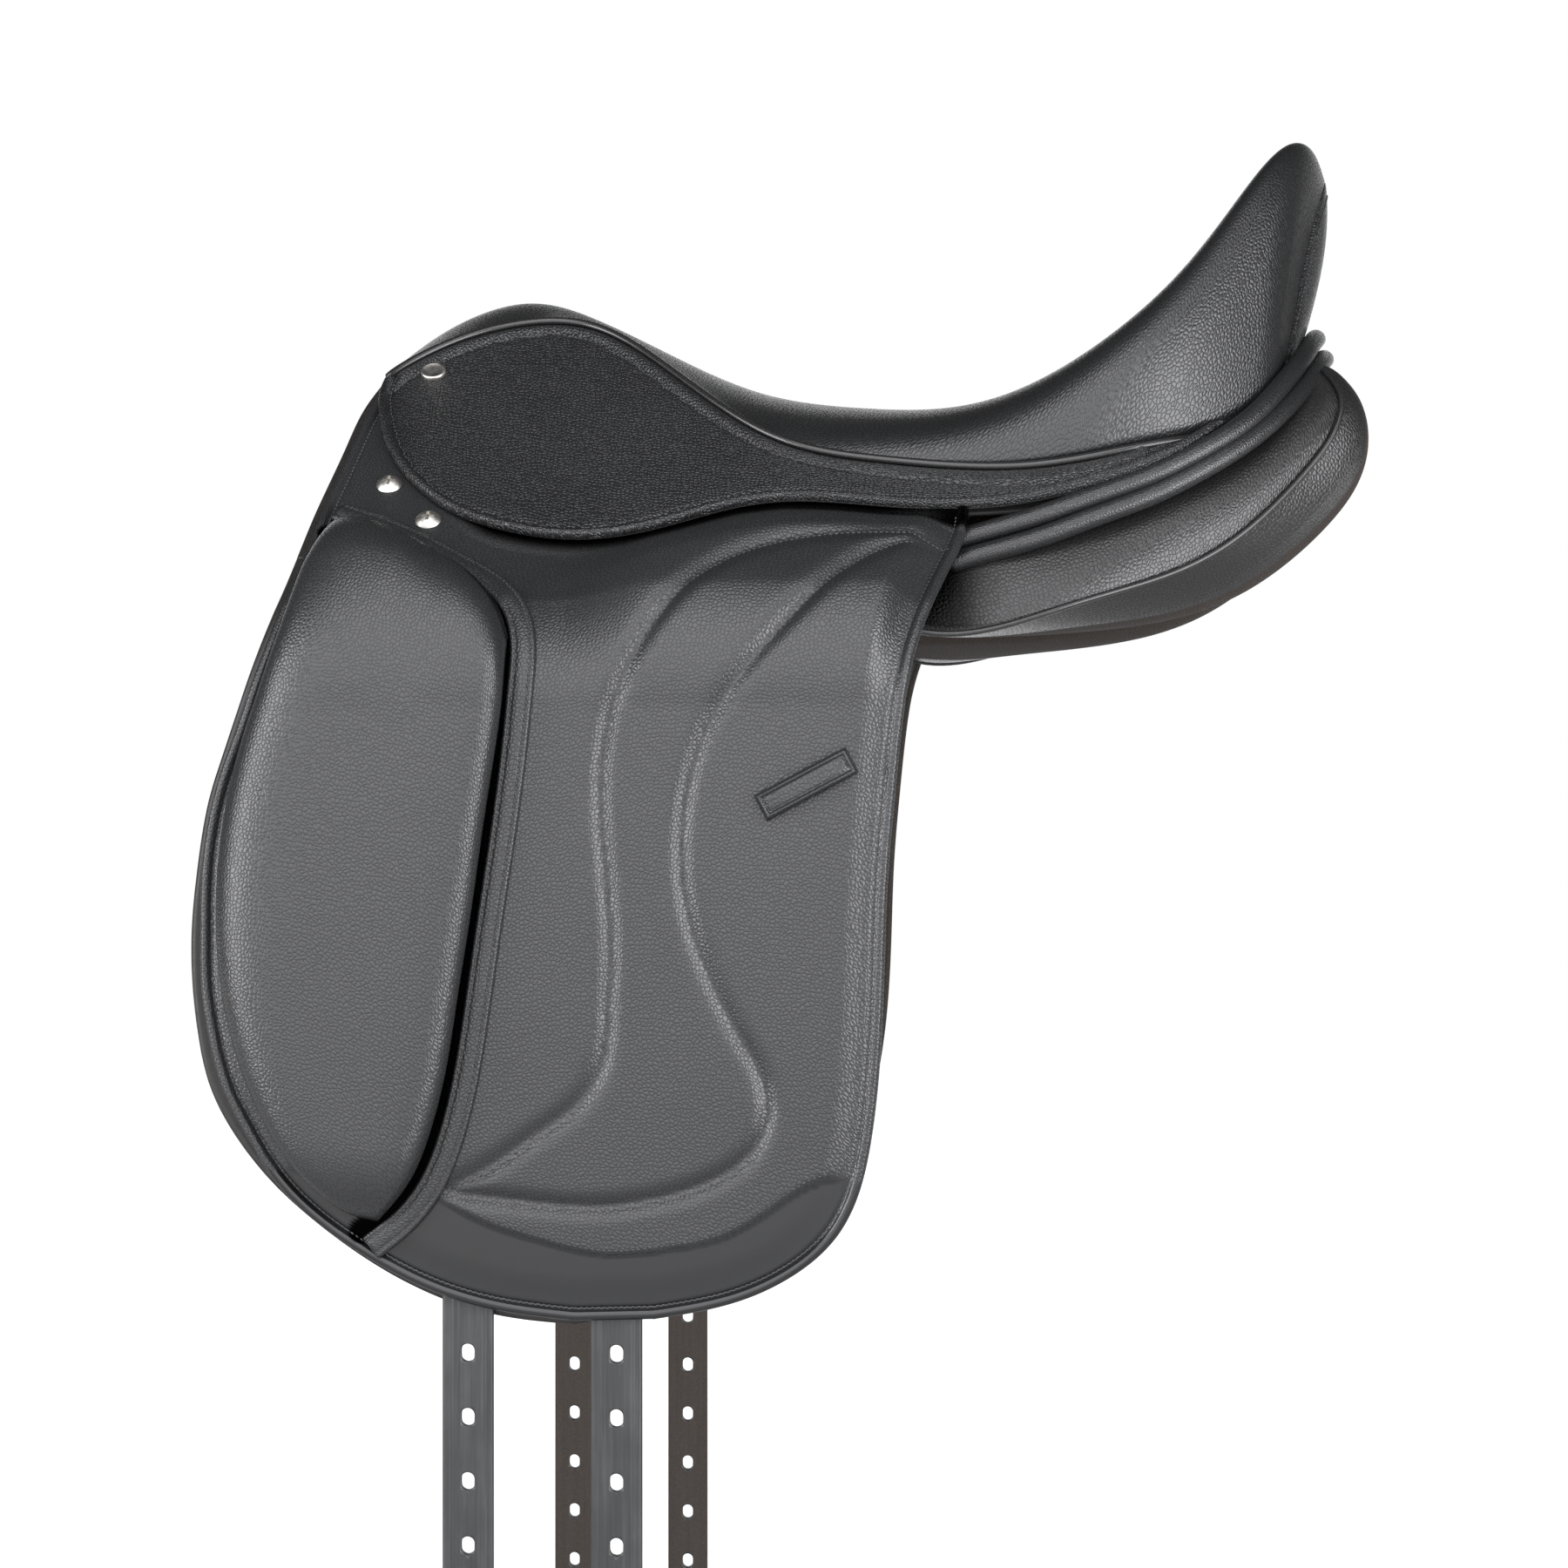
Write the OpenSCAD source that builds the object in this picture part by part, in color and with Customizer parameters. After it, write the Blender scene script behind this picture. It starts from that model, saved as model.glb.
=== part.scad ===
// A dressage saddle: a tree that carries the seat, the skirts, flaps and girth straps that hang from it,
// and the two stuffed panels that it rests on.
// Millimetres, +X forwards, +Y to the horse's left, +Z up. The origin is on the middle plane, under the
// deepest part of the seat, level with the lowest line of the panels.

/* [Sides] */
// Half width between the two sweat flaps, where they hang upright
side_y = 198; // [185:1:210]
// Height at which the hanging layers begin to bend in towards the tree
bend_z = -20; // [-26:1:-14]
// Radius of that bend on the inner face of the sweat flap
bend_r = 60; // [50:1:70]
// Slope of the layers above the bend, measured from upright
slope_deg = 45; // [42:1:47]
// Gap between neighbouring layers
layer_gap = 0.3; // [0.2:0.05:0.5]

/* [Seat] */
// Thickness of the leather of the seat
cover_t = 2.5; // [1.5:0.5:3.5]
// Thickness of the seat foam
foam_t = 19; // [14:1:21]
// Thickness of the tree under the foam
tree_t = 11; // [8:1:13]
// Diameter of the piping between seat and skirt
welt_d = 6; // [4:0.5:7]
// Thickness of the cantle back
cantle_t = 3; // [2:0.5:4]
// Diameter of the two rolls round the back of the cantle
roll_d = 12; // [8:0.5:13]

/* [Skirts and flaps] */
// Thickness of a skirt
skirt_t = 3; // [2:0.5:4]
// Thickness of a flap
flap_t = 3.5; // [2.5:0.5:5]
// Thickness of a sweat flap
sweat_t = 3; // [2:0.5:4]
// How far a sweat flap stands out past the edge of the flap
sweat_margin = 3.5; // [1:0.5:6]
// Thickness of the padded facing of a flap
pad_t = 2.2; // [1:0.2:4]
// Gap left along a fold line between the fixed and the lifting part
fold_gap = 0.4; // [0.3:0.1:1]

/* [Knee blocks] */
// Height of a knee block above the flap
block_h = 24; // [14:1:30]
// Height of its upright side before the edge turns over
block_side = 11; // [6:1:14]
// Width of the stitched welt beside the block
knee_welt_w = 9; // [6:0.5:10]
// Height of that welt along its middle
knee_welt_h = 3; // [2:0.5:4]
// Height of that welt along its edges
knee_welt_edge_h = 1.8; // [1:0.2:2]

/* [Strap keepers] */
// Length of a keeper
keeper_l = 44; // [36:1:52]
// Width of a keeper
keeper_w = 12; // [8:1:16]
// Thickness of the keeper's leather
keeper_t = 2.4; // [1.5:0.1:3]
// Gap under the middle of a keeper
keeper_gap = 2.2; // [1.5:0.1:3.5]
// Length of each sewn end
keeper_end = 8; // [6:1:10]

/* [Girth straps] */
// Width of a girth strap
strap_w = 22.5; // [18:0.5:25]
// Thickness of a girth strap
strap_t = 3.3; // [2.5:0.1:4.5]
// Height of the tip of a girth strap
strap_tip_z = -545; // [-580:1:-525]
// Height of the highest hole
hole_top_z = -305; // [-320:1:-295]
// Distance between neighbouring holes
hole_pitch = 28; // [24:1:29]
// Width of a hole
hole_w = 6; // [5:0.5:8]
// Length of a hole
hole_l = 8; // [7:0.5:12]
// Thickness of the webs that the straps hang from
web_t = 1.5; // [1:0.25:2]
// Height of the rivets that the straps hang from
pivot_z = -44; // [-52:1:-40]
// Diameter of the rivet shanks
rivet_d = 6; // [4:0.5:8]
// Diameter of the rivet heads
rivet_head_d = 10.8; // [9:0.2:12]
// Thickness of the rivet heads
rivet_head_t = 1; // [0.8:0.1:1.5]
// Radial clearance of a strap or a catch on its pin
pin_clear = 0.05; // [0.03:0.01:0.1]

/* [Stirrup bars] */
// Length of the bar that carries the stirrup leather
bar_l = 60; // [50:1:66]
// Width of the bar
bar_w = 12; // [10:0.5:13]
// Thickness of the bar
bar_t = 3.8; // [3:0.1:4.2]
// Gap for the leather behind the bar
leather_gap = 6.4; // [6:0.1:6.6]
// Thickness of the bar's base plate
base_t = 3; // [2:0.25:3]
// Length of the safety catch, from its pin to its tip
catch_l = 15; // [12:1:18]
// Diameter of the catch's pin
catch_pin_d = 3; // [2:0.25:4]

/* [Tree fittings] */
// Thickness of the side rails of the tree
rail_t = 11; // [10:0.5:13]
// Thickness of the steel gullet plate
gullet_t = 3; // [2:0.25:4]
// Width of the gullet plate, front to back
gullet_l = 26; // [18:1:28]
// Diameter of the rivets in the rails
rail_rivet_d = 5; // [4:0.5:6]
// Diameter of the domed flap screws' heads
screw_d = 12; // [9:0.5:12.5]
// Height of their heads
screw_h = 3.2; // [2:0.2:4]
// Diameter of the head nails on the skirts
stud_d = 11.5; // [8:0.5:13]
// Height of the head nails
stud_h = 3; // [2:0.2:4]

/* [Panels] */
// Width of the channel between the panels
channel_w = 66; // [56:1:74]
// How far the underside of a panel swells between its edges
panel_crown = 9; // [4:1:14]
// Diameter of the piping round a panel
panel_welt_d = 5; // [3:0.5:6]

/* [Hidden] */
$fn = 48;
// How far a hole's cutter stands out past both faces
cut = 1;

// Depths of the layers, outwards from the inner face of the sweat flap
web_in = sweat_t + layer_gap;
web_out = web_in + web_t;
strap_in = web_out + layer_gap;
strap_out = strap_in + strap_t;
head_gap = 0.1;
head_out = strap_out + head_gap + rivet_head_t;
hang_in = head_out + layer_gap;
hang_out = hang_in + flap_t;
fold_room = 1.4;
top_in = web_out + fold_room;
top_out = top_in + flap_t;
skirt_in = top_out + layer_gap;
skirt_out = skirt_in + skirt_t;
rail_out = sweat_t;
rail_in = rail_out - rail_t;
plate_out = rail_in - layer_gap;
plate_in = plate_out - gullet_t;
panel_wall = plate_in - layer_gap;
bar_out = top_out - layer_gap;
bar_in = bar_out - bar_t;
base_out = bar_in - leather_gap;
base_in = base_out - base_t;
recess_in = base_in - pin_clear;
foam_depth = cover_t + layer_gap;
tree_depth = foam_depth + foam_t + layer_gap;

// Fold lines and outlines of the left side as [x, z], seen square from the side
flap_fold = [[249, 51], [-33, 28]];
flap_front = [flap_fold[0], [260, 8], [271, -28], [286, -76], [289, -125], [283, -178], [256, -230],
    [219, -261], [162, -285], [125, -290]];
flap_rear = [flap_fold[1], [-26, 4], [-16, -65], [-11, -143], [-4, -211], [2, -236], [11, -253],
    [30, -270], [53, -280], [90, -289]];
flap_top_edge = [[-42, 46], [-45, 60], [-8, 77], [30, 84], [58, 83], [72, 83], [182, 83], [191, 98],
    [211, 122], [221, 107], [233, 88], [243, 65]];
facing_front = [[146, 34], [138, 8], [141, -42], [147, -90], [157, -150], [163, -190], [170, -222],
    [160, -246]];
facing_rear = [[-24, 20], [-18, 0], [-9, -65], [-4, -143], [2, -195], [8, -220], [30, -234], [62, -250]];
block_front = [[234, 44], [256, -5], [276, -60], [281, -120], [273, -173], [248, -220], [222, -243]];
block_rear = [[158, 10], [157, -30], [163, -80], [170, -132], [179, -185], [194, -230], [208, -247]];
knee_path = [[209, 41], [187, 31], [163, 20], [149, 10], [147, -22], [152, -72], [160, -127], [168, -180],
    [182, -226], [196, -246]];
skirt_fold = [[219, 125], [44, 92]];
skirt_lower = [[2, 71], [41, 71], [61, 69], [85, 62], [109, 56], [133, 54], [157, 57], [185, 64], [205, 77],
    [215, 89], [220, 103], [220, 116]];
rail_edge = [[64, 54], [206, 54], [216, 64], [225, 80], [222, 100], [206, 123], [197, 131], [165, 139],
    [130, 136], [100, 118], [80, 104], [64, 90]];
screw_at = [[198, 63], [219, 81]];
stud_at = [207, 136];
strap_x = [172, 107];
bar_at = [134, 91];
keeper_at = [24, -57];
keeper_turn = 28;
gullet_x = 178;
gullet_leg_z = 70;
gullet_knee_z = 121;
gullet_shoulder_z = 129;
gullet_shoulder_in = 23;
gullet_crown_z = 135;
seat_reach = 0.6;

// Lines of the seat, front to back: middle [x, z], the swell beside it [x, share of the half width, z]
seat_mid = [[224, 152], [203, 175], [172, 185], [138, 181], [100, 165], [52, 139], [0, 129], [-60, 126],
    [-122, 147], [-166, 190], [-198, 244], [-214, 261], [-228, 246]];
seat_swell = [[223, 0.6, 150], [201, 0.6, 169], [170, 0.6, 178], [136, 0.6, 173], [98, 0.6, 155],
    [50, 0.6, 128], [-2, 0.62, 119], [-61, 0.66, 123], [-119, 0.7, 151], [-157, 0.77, 189], [-185, 0.75, 227],
    [-203, 0.68, 239], [-216, 0.62, 216]];
// Its edge: the front lies in the plane of the skirts, the back runs in towards the cantle
seat_front_edge = [[219, 145], [197, 156], [165, 164], [130, 162], [92, 139], [44, 106], [-8, 93]];
seat_back_edge = [[-70, 136, 89], [-122, 133, 98], [-156, 115, 109], [-175, 101, 119], [-186, 89, 130],
    [-193, 77, 142]];
skirt_strip = [[-8, 70], [-62, 147.5, 74], [-96, 143, 86]];
cantle_foot = [[-195, 78, 136], [-208, 44, 155], [-214, 0, 168]];
roll_upper = [[-36, 147, 53], [-60, 146, 62], [-100, 142, 78], [-140, 136, 95], [-172, 119, 114],
    [-193, 101, 128], [-208, 75, 144], [-217, 38, 154], [-220, 0, 158]];
roll_lower = [[-36, 154.5, 41], [-60, 151, 50], [-100, 145, 66], [-145, 137, 83], [-178, 118, 102],
    [-199, 98, 117], [-215, 72, 132], [-224, 36, 143], [-228, 0, 147]];

// Corners of the left panel along its length
half_channel = channel_w / 2;
panel_x = [200, 150, 90, 30, -30, -90, -140, -180, -212, -230];
panel_inner_top = [[3, 112], [1, 106], [0, 92], [0, 76], [0, 82], [0, 90], [1, 106], [5, 116], [11, 120],
    [19, 118]];
panel_inner_low = [[83, 28], [95, 6], [83, 4], [57, 2], [27, 8], [19, 12], [15, 28], [17, 50], [19, 82],
    [23, 104]];
panel_front_top_z = [117, 116, 104, 71];
panel_front_mid_z = [49, 49, 49, 44];
panel_front_low_z = [38, 31, 30, 30];
panel_back_top = [[136, 64], [133, 72], [124, 84], [104, 96], [84, 112], [70, 115]];
panel_back_mid = [[147, 38], [139, 48], [130, 64], [113, 82], [96, 103], [76, 112]];
panel_back_low = [[160, 9], [146, 21], [134, 38], [119, 62], [101, 92], [78, 108]];

// Smooth curve through points, read at n even steps
function bend4(a, b, c, d, t) = 0.5 * (2 * b + (c - a) * t + (2 * a - 5 * b + 4 * c - d) * t * t
    + (3 * b - a - 3 * c + d) * t * t * t);
function smooth(p, n) = [for (i = [0:n - 1])
    let (last = len(p) - 1, u = i * last / (n - 1), k = min(floor(u), last - 1))
    bend4(p[max(k - 1, 0)], p[k], p[k + 1], p[min(k + 2, last)], u - k)];
// Straight runs between points, read at n even steps
function straight(p, n) = [for (i = [0:n - 1])
    let (last = len(p) - 1, u = i * last / (n - 1), k = min(floor(u), last - 1))
    p[k] + (p[k + 1] - p[k]) * (u - k)];
// An open outline moved sideways by m, to the left of its direction
function outset(p, m) = [for (i = [0:len(p) - 1])
    let (run = p[min(i + 1, len(p) - 1)] - p[max(i - 1, 0)])
    p[i] + m * [-run[1], run[0]] / norm(run)];
function ease(t) = let (c = max(0, min(1, t))) c * c * (3 - 2 * c);
// Height of a straight line of two points at x
function line_z(line, x) =
    line[0][1] + (line[1][1] - line[0][1]) * (x - line[0][0]) / (line[1][0] - line[0][0]);

// The hanging layers: upright below the bend, an arc, then a plane slope
bend_rise = bend_r * sin(slope_deg);
bend_drop = bend_r * (1 - cos(slope_deg));
function lean(z) = z <= bend_z ? 0 : z >= bend_z + bend_rise ? slope_deg : asin((z - bend_z) / bend_r);
function skin(z) = z <= bend_z ? side_y
    : z <= bend_z + bend_rise ? side_y - bend_r * (1 - cos(lean(z)))
    : side_y - bend_drop - (z - bend_z - bend_rise) * tan(slope_deg);
function out_at(z) = [0, cos(lean(z)), sin(lean(z))];
// A point at depth d of the layers, level with z
function layer(p, d) = [p[0], skin(p[1]) + d / cos(lean(p[1])), p[1]];
function flap_depth(z) = hang_out + (top_out - hang_out) * ease((z - bend_z) / bend_rise);
// A point at height h over the outer face of the flap
function on_flap(p, h) = layer(p, flap_depth(p[1])) + h * out_at(p[1]);
down_slope = [0, sin(slope_deg), -cos(slope_deg)];
out_slope = [0, cos(slope_deg), sin(slope_deg)];

// A grid of [x, z] points ruled between a front and a rear outline
function ruled(front, rear, m) = [for (i = [0:len(front) - 1])
    [for (j = [0:m - 1]) front[i] + (rear[i] - front[i]) * j / (m - 1)]];
function deepen(grid, d) = [for (row = grid) [for (p = row) layer(p, d)]];
function lift(grid, h) = [for (row = grid) [for (p = row) on_flap(p, h)]];

// Normal of a grid of points, and the grid moved along it
function normal(g, i, j) =
    let (along = g[min(i + 1, len(g) - 1)][j] - g[max(i - 1, 0)][j],
        across = g[i][min(j + 1, len(g[0]) - 1)] - g[i][max(j - 1, 0)],
        n = cross(along, across))
    n / norm(n);
function sunk(g, d) = [for (i = [0:len(g) - 1]) [for (j = [0:len(g[0]) - 1]) g[i][j] - d * normal(g, i, j)]];

// A closed body between two grids with the same rows and columns
module slab(a, b) {
    n = len(a);
    m = len(a[0]);
    size = n * m;
    points = [for (g = [a, b]) for (row = g) for (p = row) p];
    quads = [
        for (i = [0:n - 2]) for (j = [0:m - 2])
            [i * m + j, i * m + j + 1, (i + 1) * m + j + 1, (i + 1) * m + j],
        for (i = [0:n - 2]) for (j = [0:m - 2])
            [size + i * m + j, size + (i + 1) * m + j, size + (i + 1) * m + j + 1, size + i * m + j + 1],
        for (j = [0:m - 2]) [j, size + j, size + j + 1, j + 1],
        for (j = [0:m - 2]) let (k = (n - 1) * m + j) [k, k + 1, size + k + 1, size + k],
        for (i = [0:n - 2]) let (k = i * m) [k, k + m, size + k + m, size + k],
        for (i = [0:n - 2]) let (k = i * m + m - 1) [k, size + k, size + k + m, k + m]];
    skin_of(points, quads);
}

// A closed body through rings of points, closed at both ends by a fan
module loft(rings) {
    n = len(rings);
    m = len(rings[0]);
    ends = [for (r = [rings[0], rings[n - 1]]) [for (p = r) 1] * r / m];
    points = concat([for (r = rings) for (p = r) p], ends);
    quads = [
        for (i = [0:n - 2]) for (j = [0:m - 1]) let (k = (j + 1) % m)
            [i * m + j, i * m + k, (i + 1) * m + k, (i + 1) * m + j],
        for (j = [0:m - 1]) let (k = (j + 1) % m) [n * m, k, j],
        for (j = [0:m - 1]) let (k = (j + 1) % m, s = (n - 1) * m) [n * m + 1, s + j, s + k]];
    skin_of(points, quads);
}

// Triangles for a list of three- and four-sided faces, turned so that they point outwards
module skin_of(points, quads) {
    tris = [for (q = quads) for (k = [2:len(q) - 1]) [q[0], q[k - 1], q[k]]];
    inside = [for (t = tris) 1] * [for (t = tris) cross(points[t[0]], points[t[1]]) * points[t[2]]];
    polyhedron(points, inside < 0 ? tris : [for (t = tris) [t[0], t[2], t[1]]]);
}

// A round cord along a path
cord_sides = 8;
module cord(path, d, sides) {
    loft([for (i = [0:len(path) - 1])
        let (run = path[min(i + 1, len(path) - 1)] - path[max(i - 1, 0)],
            t = run / norm(run),
            side = cross(t, [0, 0, 1]) / norm(cross(t, [0, 0, 1])),
            up = cross(side, t))
        [for (k = [0:sides - 1]) let (a = 360 * k / sides) path[i] + d / 2 * (cos(a) * side + sin(a) * up)]]);
}

// Places children on the slope: x forwards, y outwards as a depth, z up the slope
module on_slope(p) {
    translate(layer(p, 0)) rotate([slope_deg, 0, 0]) children();
}

// A flat sheet on the slope between two depths, its outline given on the outer face
module slope_sheet(outline, inner, outer) {
    ref = outline[0];
    climb = [for (p = outline) [p[0] - ref[0], (p[1] - ref[1]) / cos(slope_deg)]];
    translate(layer(ref, outer)) rotate([slope_deg, 0, 0])
        rotate([90, 0, 0]) linear_extrude(outer - inner) polygon(climb);
}

// Where an axis square to the slope, seen at p on the face at a depth, meets the inner face of the layers
function foot(p, depth) = p - [0, depth * sin(slope_deg)];

// A pin square to the slope at a foot, from one depth to another
module slope_pin(p, inner, outer, d) {
    on_slope(p) translate([0, inner, 0]) rotate([-90, 0, 0]) cylinder(d = d, h = outer - inner);
}

// A domed head square to the slope at a foot, standing out from a depth
module slope_dome(p, depth, d, h) {
    ball_r = (d * d / 4 + h * h) / (2 * h);
    on_slope(p) translate([0, depth, 0]) rotate([-90, 0, 0]) rotate_extrude() intersection() {
        translate([0, h - ball_r]) circle(ball_r);
        square([d / 2, h]);
    }
}

module left() { children(); }
module right() { mirror([0, 1, 0]) children(); }
module both() { left() children(); right() children(); }

// Seat

seat_edge = concat([for (p = seat_front_edge) layer(p, skirt_out)], seat_back_edge);
seat_rows = 25;
seat_cols = 17;
mid_line = smooth(seat_mid, seat_rows);
swell_line = smooth(seat_swell, seat_rows);
edge_line = smooth(seat_edge, seat_rows);
// Across the seat the height follows a curve through the middle, the swell and the edge
function seat_point(i, t) =
    let (c = mid_line[i], s = swell_line[i], e = edge_line[i], r = seat_reach, q = t * t, k = r * r,
        wc = (q - k) * (q - 1) / k, ws = q * (q - 1) / (k * (k - 1)), we = q * (q - k) / (1 - k),
        b = (e[1] - s[1] * e[1] / r) / (1 - k))
    [wc * c[0] + ws * s[0] + we * e[0], t * (e[1] - b * (1 - q)), wc * c[1] + ws * s[2] + we * e[2]];
seat_face = [for (i = [0:seat_rows - 1])
    [for (j = [0:seat_cols - 1]) seat_point(i, 1 - 2 * j / (seat_cols - 1))]];
// The seat's face sunk by a depth, without the rows at its front and back and the columns at its sides
// that an inset [front, back, side] leaves off
foam_inset = [1, 7, 1];
tree_inset = [2, 7, 3];
function under_seat(depth, inset) =
    let (g = sunk(seat_face, depth))
    [for (i = [inset[0]:seat_rows - 1 - inset[1]])
        [for (j = [inset[2]:seat_cols - 1 - inset[2]]) g[i][j]]];

module seat_cover() {
    color("dimgray") slab(seat_face, sunk(seat_face, cover_t));
}

module seat_foam() {
    color("wheat") slab(under_seat(foam_depth, foam_inset), under_seat(foam_depth + foam_t, foam_inset));
}

module tree() {
    color("burlywood") slab(under_seat(tree_depth, tree_inset), under_seat(tree_depth + tree_t, tree_inset));
}

welt_last = 15;
welt_clear = 0.9;
welt_rise = 1.2;
module seat_welt() {
    path = [for (i = [0:welt_last])
        edge_line[i] + (welt_d / 2 + welt_clear) * down_slope + welt_rise * out_slope];
    color("black") cord(path, welt_d, cord_sides);
}

cantle_rows = 4;
cantle_drop = [-0.8, 0, -3.2];
module cantle_back() {
    last = seat_rows - 1;
    half = smooth(cantle_foot, (seat_cols + 1) / 2);
    foot = concat(half, [for (k = [len(half) - 2:-1:0]) [half[k][0], -half[k][1], half[k][2]]]);
    top = [for (p = seat_face[last]) p + cantle_drop];
    face = [for (i = [0:cantle_rows])
        [for (j = [0:seat_cols - 1]) top[j] + (foot[j] - top[j]) * i / cantle_rows]];
    color("dimgray") slab(face, [for (row = face) [for (p = row) p + [cantle_t, 0, 0]]]);
}

roll_rings = 17;
module rear_roll(half) {
    there = smooth(half, roll_rings);
    back = [for (k = [roll_rings - 2:-1:0]) [there[k][0], -there[k][1], there[k][2]]];
    color("darkslategray") cord(concat(there, back), roll_d, cord_sides);
}

// Skirts

welt_room = welt_d + 2 * welt_clear;
module skirt_root() {
    top = [for (i = [0:welt_last]) edge_line[i] + welt_room * down_slope];
    fold = [for (i = [0:len(seat_front_edge) - 2])
        let (x = seat_front_edge[i][0]) layer([x, line_z(skirt_fold, x)], skirt_out)];
    strip = [layer(skirt_strip[0], skirt_out), skirt_strip[1]];
    low = concat(straight(concat(fold, strip), welt_last), [skirt_strip[2]]);
    face = [for (i = [0:welt_last]) [for (j = [0:2]) top[i] + (low[i] - top[i]) * j / 2]];
    color("dimgray") difference() {
        slab(face, [for (row = face) [for (p = row) p - skirt_t * out_slope]]);
        slope_pin(foot(stud_at, skirt_out), skirt_in - cut, skirt_out + cut, stud_shank_d + 2 * pin_clear);
    }
}

lobe_steps = 40;
module skirt() {
    low = smooth(skirt_lower, lobe_steps);
    top = [for (p = skirt_fold) p - [0, fold_gap]];
    color("gray") slope_sheet(concat([top[1]], low, [top[0]]), skirt_in, skirt_out);
}

stud_shank_d = 3;
module head_nails() {
    color("silver") both() {
        slope_dome(foot(stud_at, skirt_out), skirt_out, stud_d, stud_h);
        slope_pin(foot(stud_at, skirt_out), skirt_in, skirt_out, stud_shank_d);
    }
}

// Flaps

flap_rows = 28;
flap_cols = 6;
flap_grid = ruled(smooth(flap_front, flap_rows), smooth(flap_rear, flap_rows), flap_cols);

module flap() {
    color("gray") slab(lift(flap_grid, 0), lift(flap_grid, -flap_t));
}

module flap_top() {
    fold = [for (p = flap_fold) p + [0, fold_gap]];
    color("gray") difference() {
        slope_sheet(concat([fold[0], fold[1]], flap_top_edge), top_in, top_out);
        for (p = screw_feet) slope_pin(p, top_in - cut, top_out + cut, rail_hole_d);
    }
}

rest_gap = 0.8;
facing_rows = 26;
module flap_facing() {
    grid = ruled(smooth(facing_front, facing_rows), smooth(facing_rear, facing_rows), flap_cols);
    color("gray") slab(lift(grid, rest_gap + pad_t), lift(grid, rest_gap));
}

block_rows = 27;
block_cols = 9;
block_power = 5;
function round_over(u) = 1 - pow(abs(2 * u - 1), block_power);
module knee_block() {
    grid = ruled(smooth(block_front, block_rows), smooth(block_rear, block_rows), block_cols);
    crown = [for (i = [0:block_rows - 1]) [for (j = [0:block_cols - 1])
        let (over = round_over(i / (block_rows - 1)) * round_over(j / (block_cols - 1)))
        on_flap(grid[i][j], rest_gap + block_side + (block_h - block_side) * over)]];
    color("gray") slab(crown, lift(grid, rest_gap));
}

knee_welt_rows = 24;
module knee_welt() {
    path = smooth(knee_path, knee_welt_rows);
    grid = [for (i = [0:len(path) - 1]) [for (k = [-1, 0, 1]) outset(path, k * knee_welt_w / 2)[i]]];
    ridge = [for (row = grid)
        [for (k = [0:2]) on_flap(row[k], rest_gap + (k == 1 ? knee_welt_h : knee_welt_edge_h))]];
    color("dimgray") slab(ridge, lift(grid, rest_gap));
}

module keeper() {
    seat_h = rest_gap + pad_t + rest_gap;
    translate(on_flap(keeper_at, seat_h)) rotate([0, keeper_turn, 0]) color("dimgray") {
        translate([-keeper_l / 2, keeper_gap, -keeper_w / 2]) cube([keeper_l, keeper_t, keeper_w]);
        for (x = [-keeper_l / 2, keeper_l / 2 - keeper_end])
            translate([x, 0, -keeper_w / 2]) cube([keeper_end, keeper_gap, keeper_w]);
    }
}

screw_feet = [for (p = screw_at) foot(p, top_out)];
slot_w = 1.4;
slot_l = 6;
slot_deep = 1.6;
module flap_screw(p) {
    color("silver") {
        difference() {
            slope_dome(p, top_out, screw_d, screw_h);
            for (turn = [0, 90])
                on_slope(p) translate([0, top_out + screw_h, 0]) rotate([0, turn, 0])
                    cube([slot_l, 2 * slot_deep, slot_w], center = true);
        }
        slope_pin(p, rail_in, top_out, rail_rivet_d);
    }
}
module flap_screws() { both() for (p = screw_feet) flap_screw(p); }

module sweat_flap() {
    front = outset(smooth(flap_front, flap_rows), sweat_margin);
    rear = outset(smooth(flap_rear, flap_rows), -sweat_margin);
    grid = ruled(front, rear, flap_cols);
    color("black") slab(deepen(grid, sweat_t), deepen(grid, 0));
}

// Tree fittings

plate_bolts = [[186, 84], [186, 106]];
base_over = 10;
bolt_over = 4;
recess_over = 14;
base_l = bar_l + 2 * base_over;
base_bolts = [-bar_l / 2 - bolt_over, bar_l / 2 + bolt_over];
bar_arm = 10;
recess_l = base_l + 2 * recess_over;
recess_h = 34;
web_bolt_z = 66;
web_bolts = [for (x = strap_x) [x, web_bolt_z]];
rail_hole_d = rail_rivet_d + 2 * pin_clear;

module tree_rail() {
    color("peru") difference() {
        slope_sheet(rail_edge, rail_in, rail_out);
        on_slope(bar_at) translate([-recess_l / 2, recess_in, -recess_h / 2])
            cube([recess_l, rail_out - recess_in + cut, recess_h]);
        for (p = concat(screw_feet, plate_bolts, web_bolts))
            slope_pin(p, rail_in - cut, rail_out + cut, rail_hole_d);
        on_slope(bar_at) for (x = base_bolts)
            translate([x, rail_in - cut, 0]) rotate([-90, 0, 0])
                cylinder(d = rail_hole_d, h = rail_t + 2 * cut);
    }
}

// An outline's other half: its points on the other side, and its points backwards without the last
function flip(p) = [for (q = p) [-q[0], q[1]]];
function back(p) = [for (k = [len(p) - 2:-1:0]) p[k]];

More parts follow.
